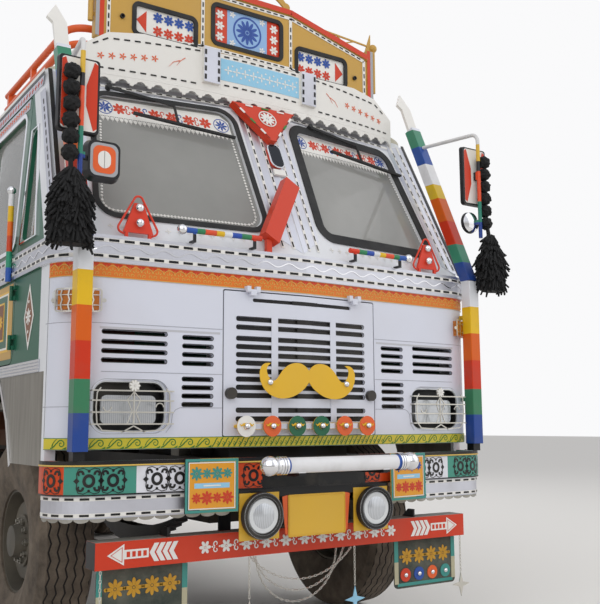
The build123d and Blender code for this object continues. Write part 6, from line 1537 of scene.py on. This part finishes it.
# Load body: coloured fields with a cream border and a rosette between the posts and ribs
field_paints = (teal_enamel, red_enamel, blue_enamel, ochre_enamel, leaf_enamel)
field_rows = ((1.345, 1.605), (1.695, 2.055), (2.145, 2.505), (2.595, 2.955))
body_middle = 1.12
post_pitch = 0.7
fields = [bmesh.new() for paint in field_paints]
borders = bmesh.new()
blooms = bmesh.new()
bead = bmesh.new()
for column in range(6):
    middle = body_middle + (column - 2.5) * post_pitch
    for row, (low, high) in enumerate(field_rows):
        upright_bar(fields[(column + 2 * row) % 5], middle, 0.285, low + 0.014, high - 0.014)
        ring(borders, middle - 0.255, middle + 0.255, low + 0.036, high - 0.036, 0.012)
        centre = (low + high) / 2
        petals(borders, middle, centre, 0.085, 10, 0.28)
        disc(blooms, middle, centre, 0.022, segments=14)
        for step in (-1, 1):
            petals(blooms, middle + step * 0.165, centre, 0.050, 6, 0.34)
            for up in (-1, 1):
                disc(blooms, middle + step * 0.225, centre + up * (high - low) * 0.28, 0.012, segments=10)
for height in (1.290, 1.650, 2.100, 2.550, 3.010):
    for column in range(8):
        left = max(-1.290, body_middle + (column - 4) * post_pitch + 0.045)
        right = min(3.530, body_middle + (column - 3) * post_pitch - 0.045)
        if right - left > 0.1:
            dashes(bead, left, right, height, 0.050, 0.085, 0.016)
board_depth = 0.040
for side, name in hands:
    wall = body_flank(side)
    for paint, shape in zip(field_paints, fields):
        finish(f"body_field_{paint.name}_{name}", shape.copy(), wall, paint, 0.0008 - board_depth)
    finish(f"body_borders_{name}", borders.copy(), wall, cream_enamel, 0.0022 - board_depth)
    finish(f"body_blooms_{name}", blooms.copy(), wall, yellow_enamel, 0.0036 - board_depth)
    finish(f"body_dashes_{name}", bead.copy(), wall, cream_enamel)
for shape in (*fields, borders, blooms, bead):
    shape.free()

# Tailgate: fields between its ribs
with (
    flat("tailgate_fields", gate_back, teal_enamel, body="tailgate") as plates,
    flat("tailgate_marks", gate_back, cream_enamel, 0.0022, body="tailgate") as marks,
):
    for middle in steps_from(-0.72, 0.48, 4):
        upright_bar(plates, middle, 0.190, 1.375, 2.145)
        ring(marks, middle - 0.165, middle + 0.165, 1.400, 2.120, 0.012)
        for height in (1.53, 1.76, 1.99):
            petals(marks, middle, height, 0.080, 10, 0.28)

# Wheel nuts and studs round the hubs
for side, name in hands:
    for axle, body, reach, circle in (
        (front_axle, f"front_wheel_{name}", 1.039, 0.100), (rear_axle, f"rear_wheels_{name}", 0.990, 0.112),
    ):
        with solid(f"nuts_{body}", dull_stainless, body) as shape:
            for index in range(10):
                angle = 2 * math.pi * index / 10
                spot = (side * reach, axle + circle * math.cos(angle), hub_height + circle * math.sin(angle))
                cone(shape, Matrix.Translation(spot) @ sideways, 0.017, 0.015, 0.030, 6)
                cone(shape, Matrix.Translation(spot) @ sideways, 0.009, 0.009, 0.050, 10)

# Pale studio: a wide floor and soft light from above and both sides
floor_mesh = bmesh.new()
bmesh.ops.create_grid(floor_mesh, x_segments=1, y_segments=1, size=60)
floor_data = bpy.data.meshes.new("floor")
floor_mesh.to_mesh(floor_data)
floor_mesh.free()
floor_data.materials.append(floor_paint)
floor = bpy.data.objects.new("floor", floor_data)
floor.location.z = -0.001
scene.collection.objects.link(floor)

world = bpy.data.worlds.new("studio")
scene.world = world
world.use_nodes = True
sky = world.node_tree
heading = add(sky, "TexCoord").outputs["Generated"]
upward = add(sky, "SeparateXYZ", {0: heading}).outputs["Z"]
horizon = add(sky, "MapRange", {"Value": upward, "From Min": -0.05, "From Max": 0.30})
mirrored = add(sky, "Mix", {0: horizon, "A": "#ADA8A2", "B": "#EEF0F6"}, data_type="RGBA")
diffuse_glow = add(sky, "Background", {"Color": "#F4F4F6", "Strength": 0.68})
glossy_glow = add(sky, "Background", {"Color": mirrored, "Strength": 0.9})
seen_glow = add(sky, "Background", {"Color": "#FAFAFB", "Strength": 1.0})
rays = add(sky, "LightPath").outputs
lit = add(sky, "MixShader", {0: rays["Is Glossy Ray"], 1: diffuse_glow, 2: glossy_glow})
seen = add(sky, "MixShader", {0: rays["Is Camera Ray"], 1: lit, 2: seen_glow})
connect(sky.nodes["World Output"], {"Surface": seen})

for name, spot, power, size in (
    ("key_light", (-5.5, -9.0, 7.5), 360, 11.0),
    ("fill_light", (6.5, -7.0, 5.0), 170, 10.0),
    ("rear_light", (3.0, 9.0, 7.0), 300, 6.0),
):
    lamp_data = bpy.data.lights.new(name, "AREA")
    lamp_data.energy = power
    lamp_data.size = size
    lamp = bpy.data.objects.new(name, lamp_data)
    lamp.location = spot
    lamp.rotation_euler = (Vector((0, 0, 1.5)) - Vector(spot)).to_track_quat("-Z", "Y").to_euler()
    scene.collection.objects.link(lamp)
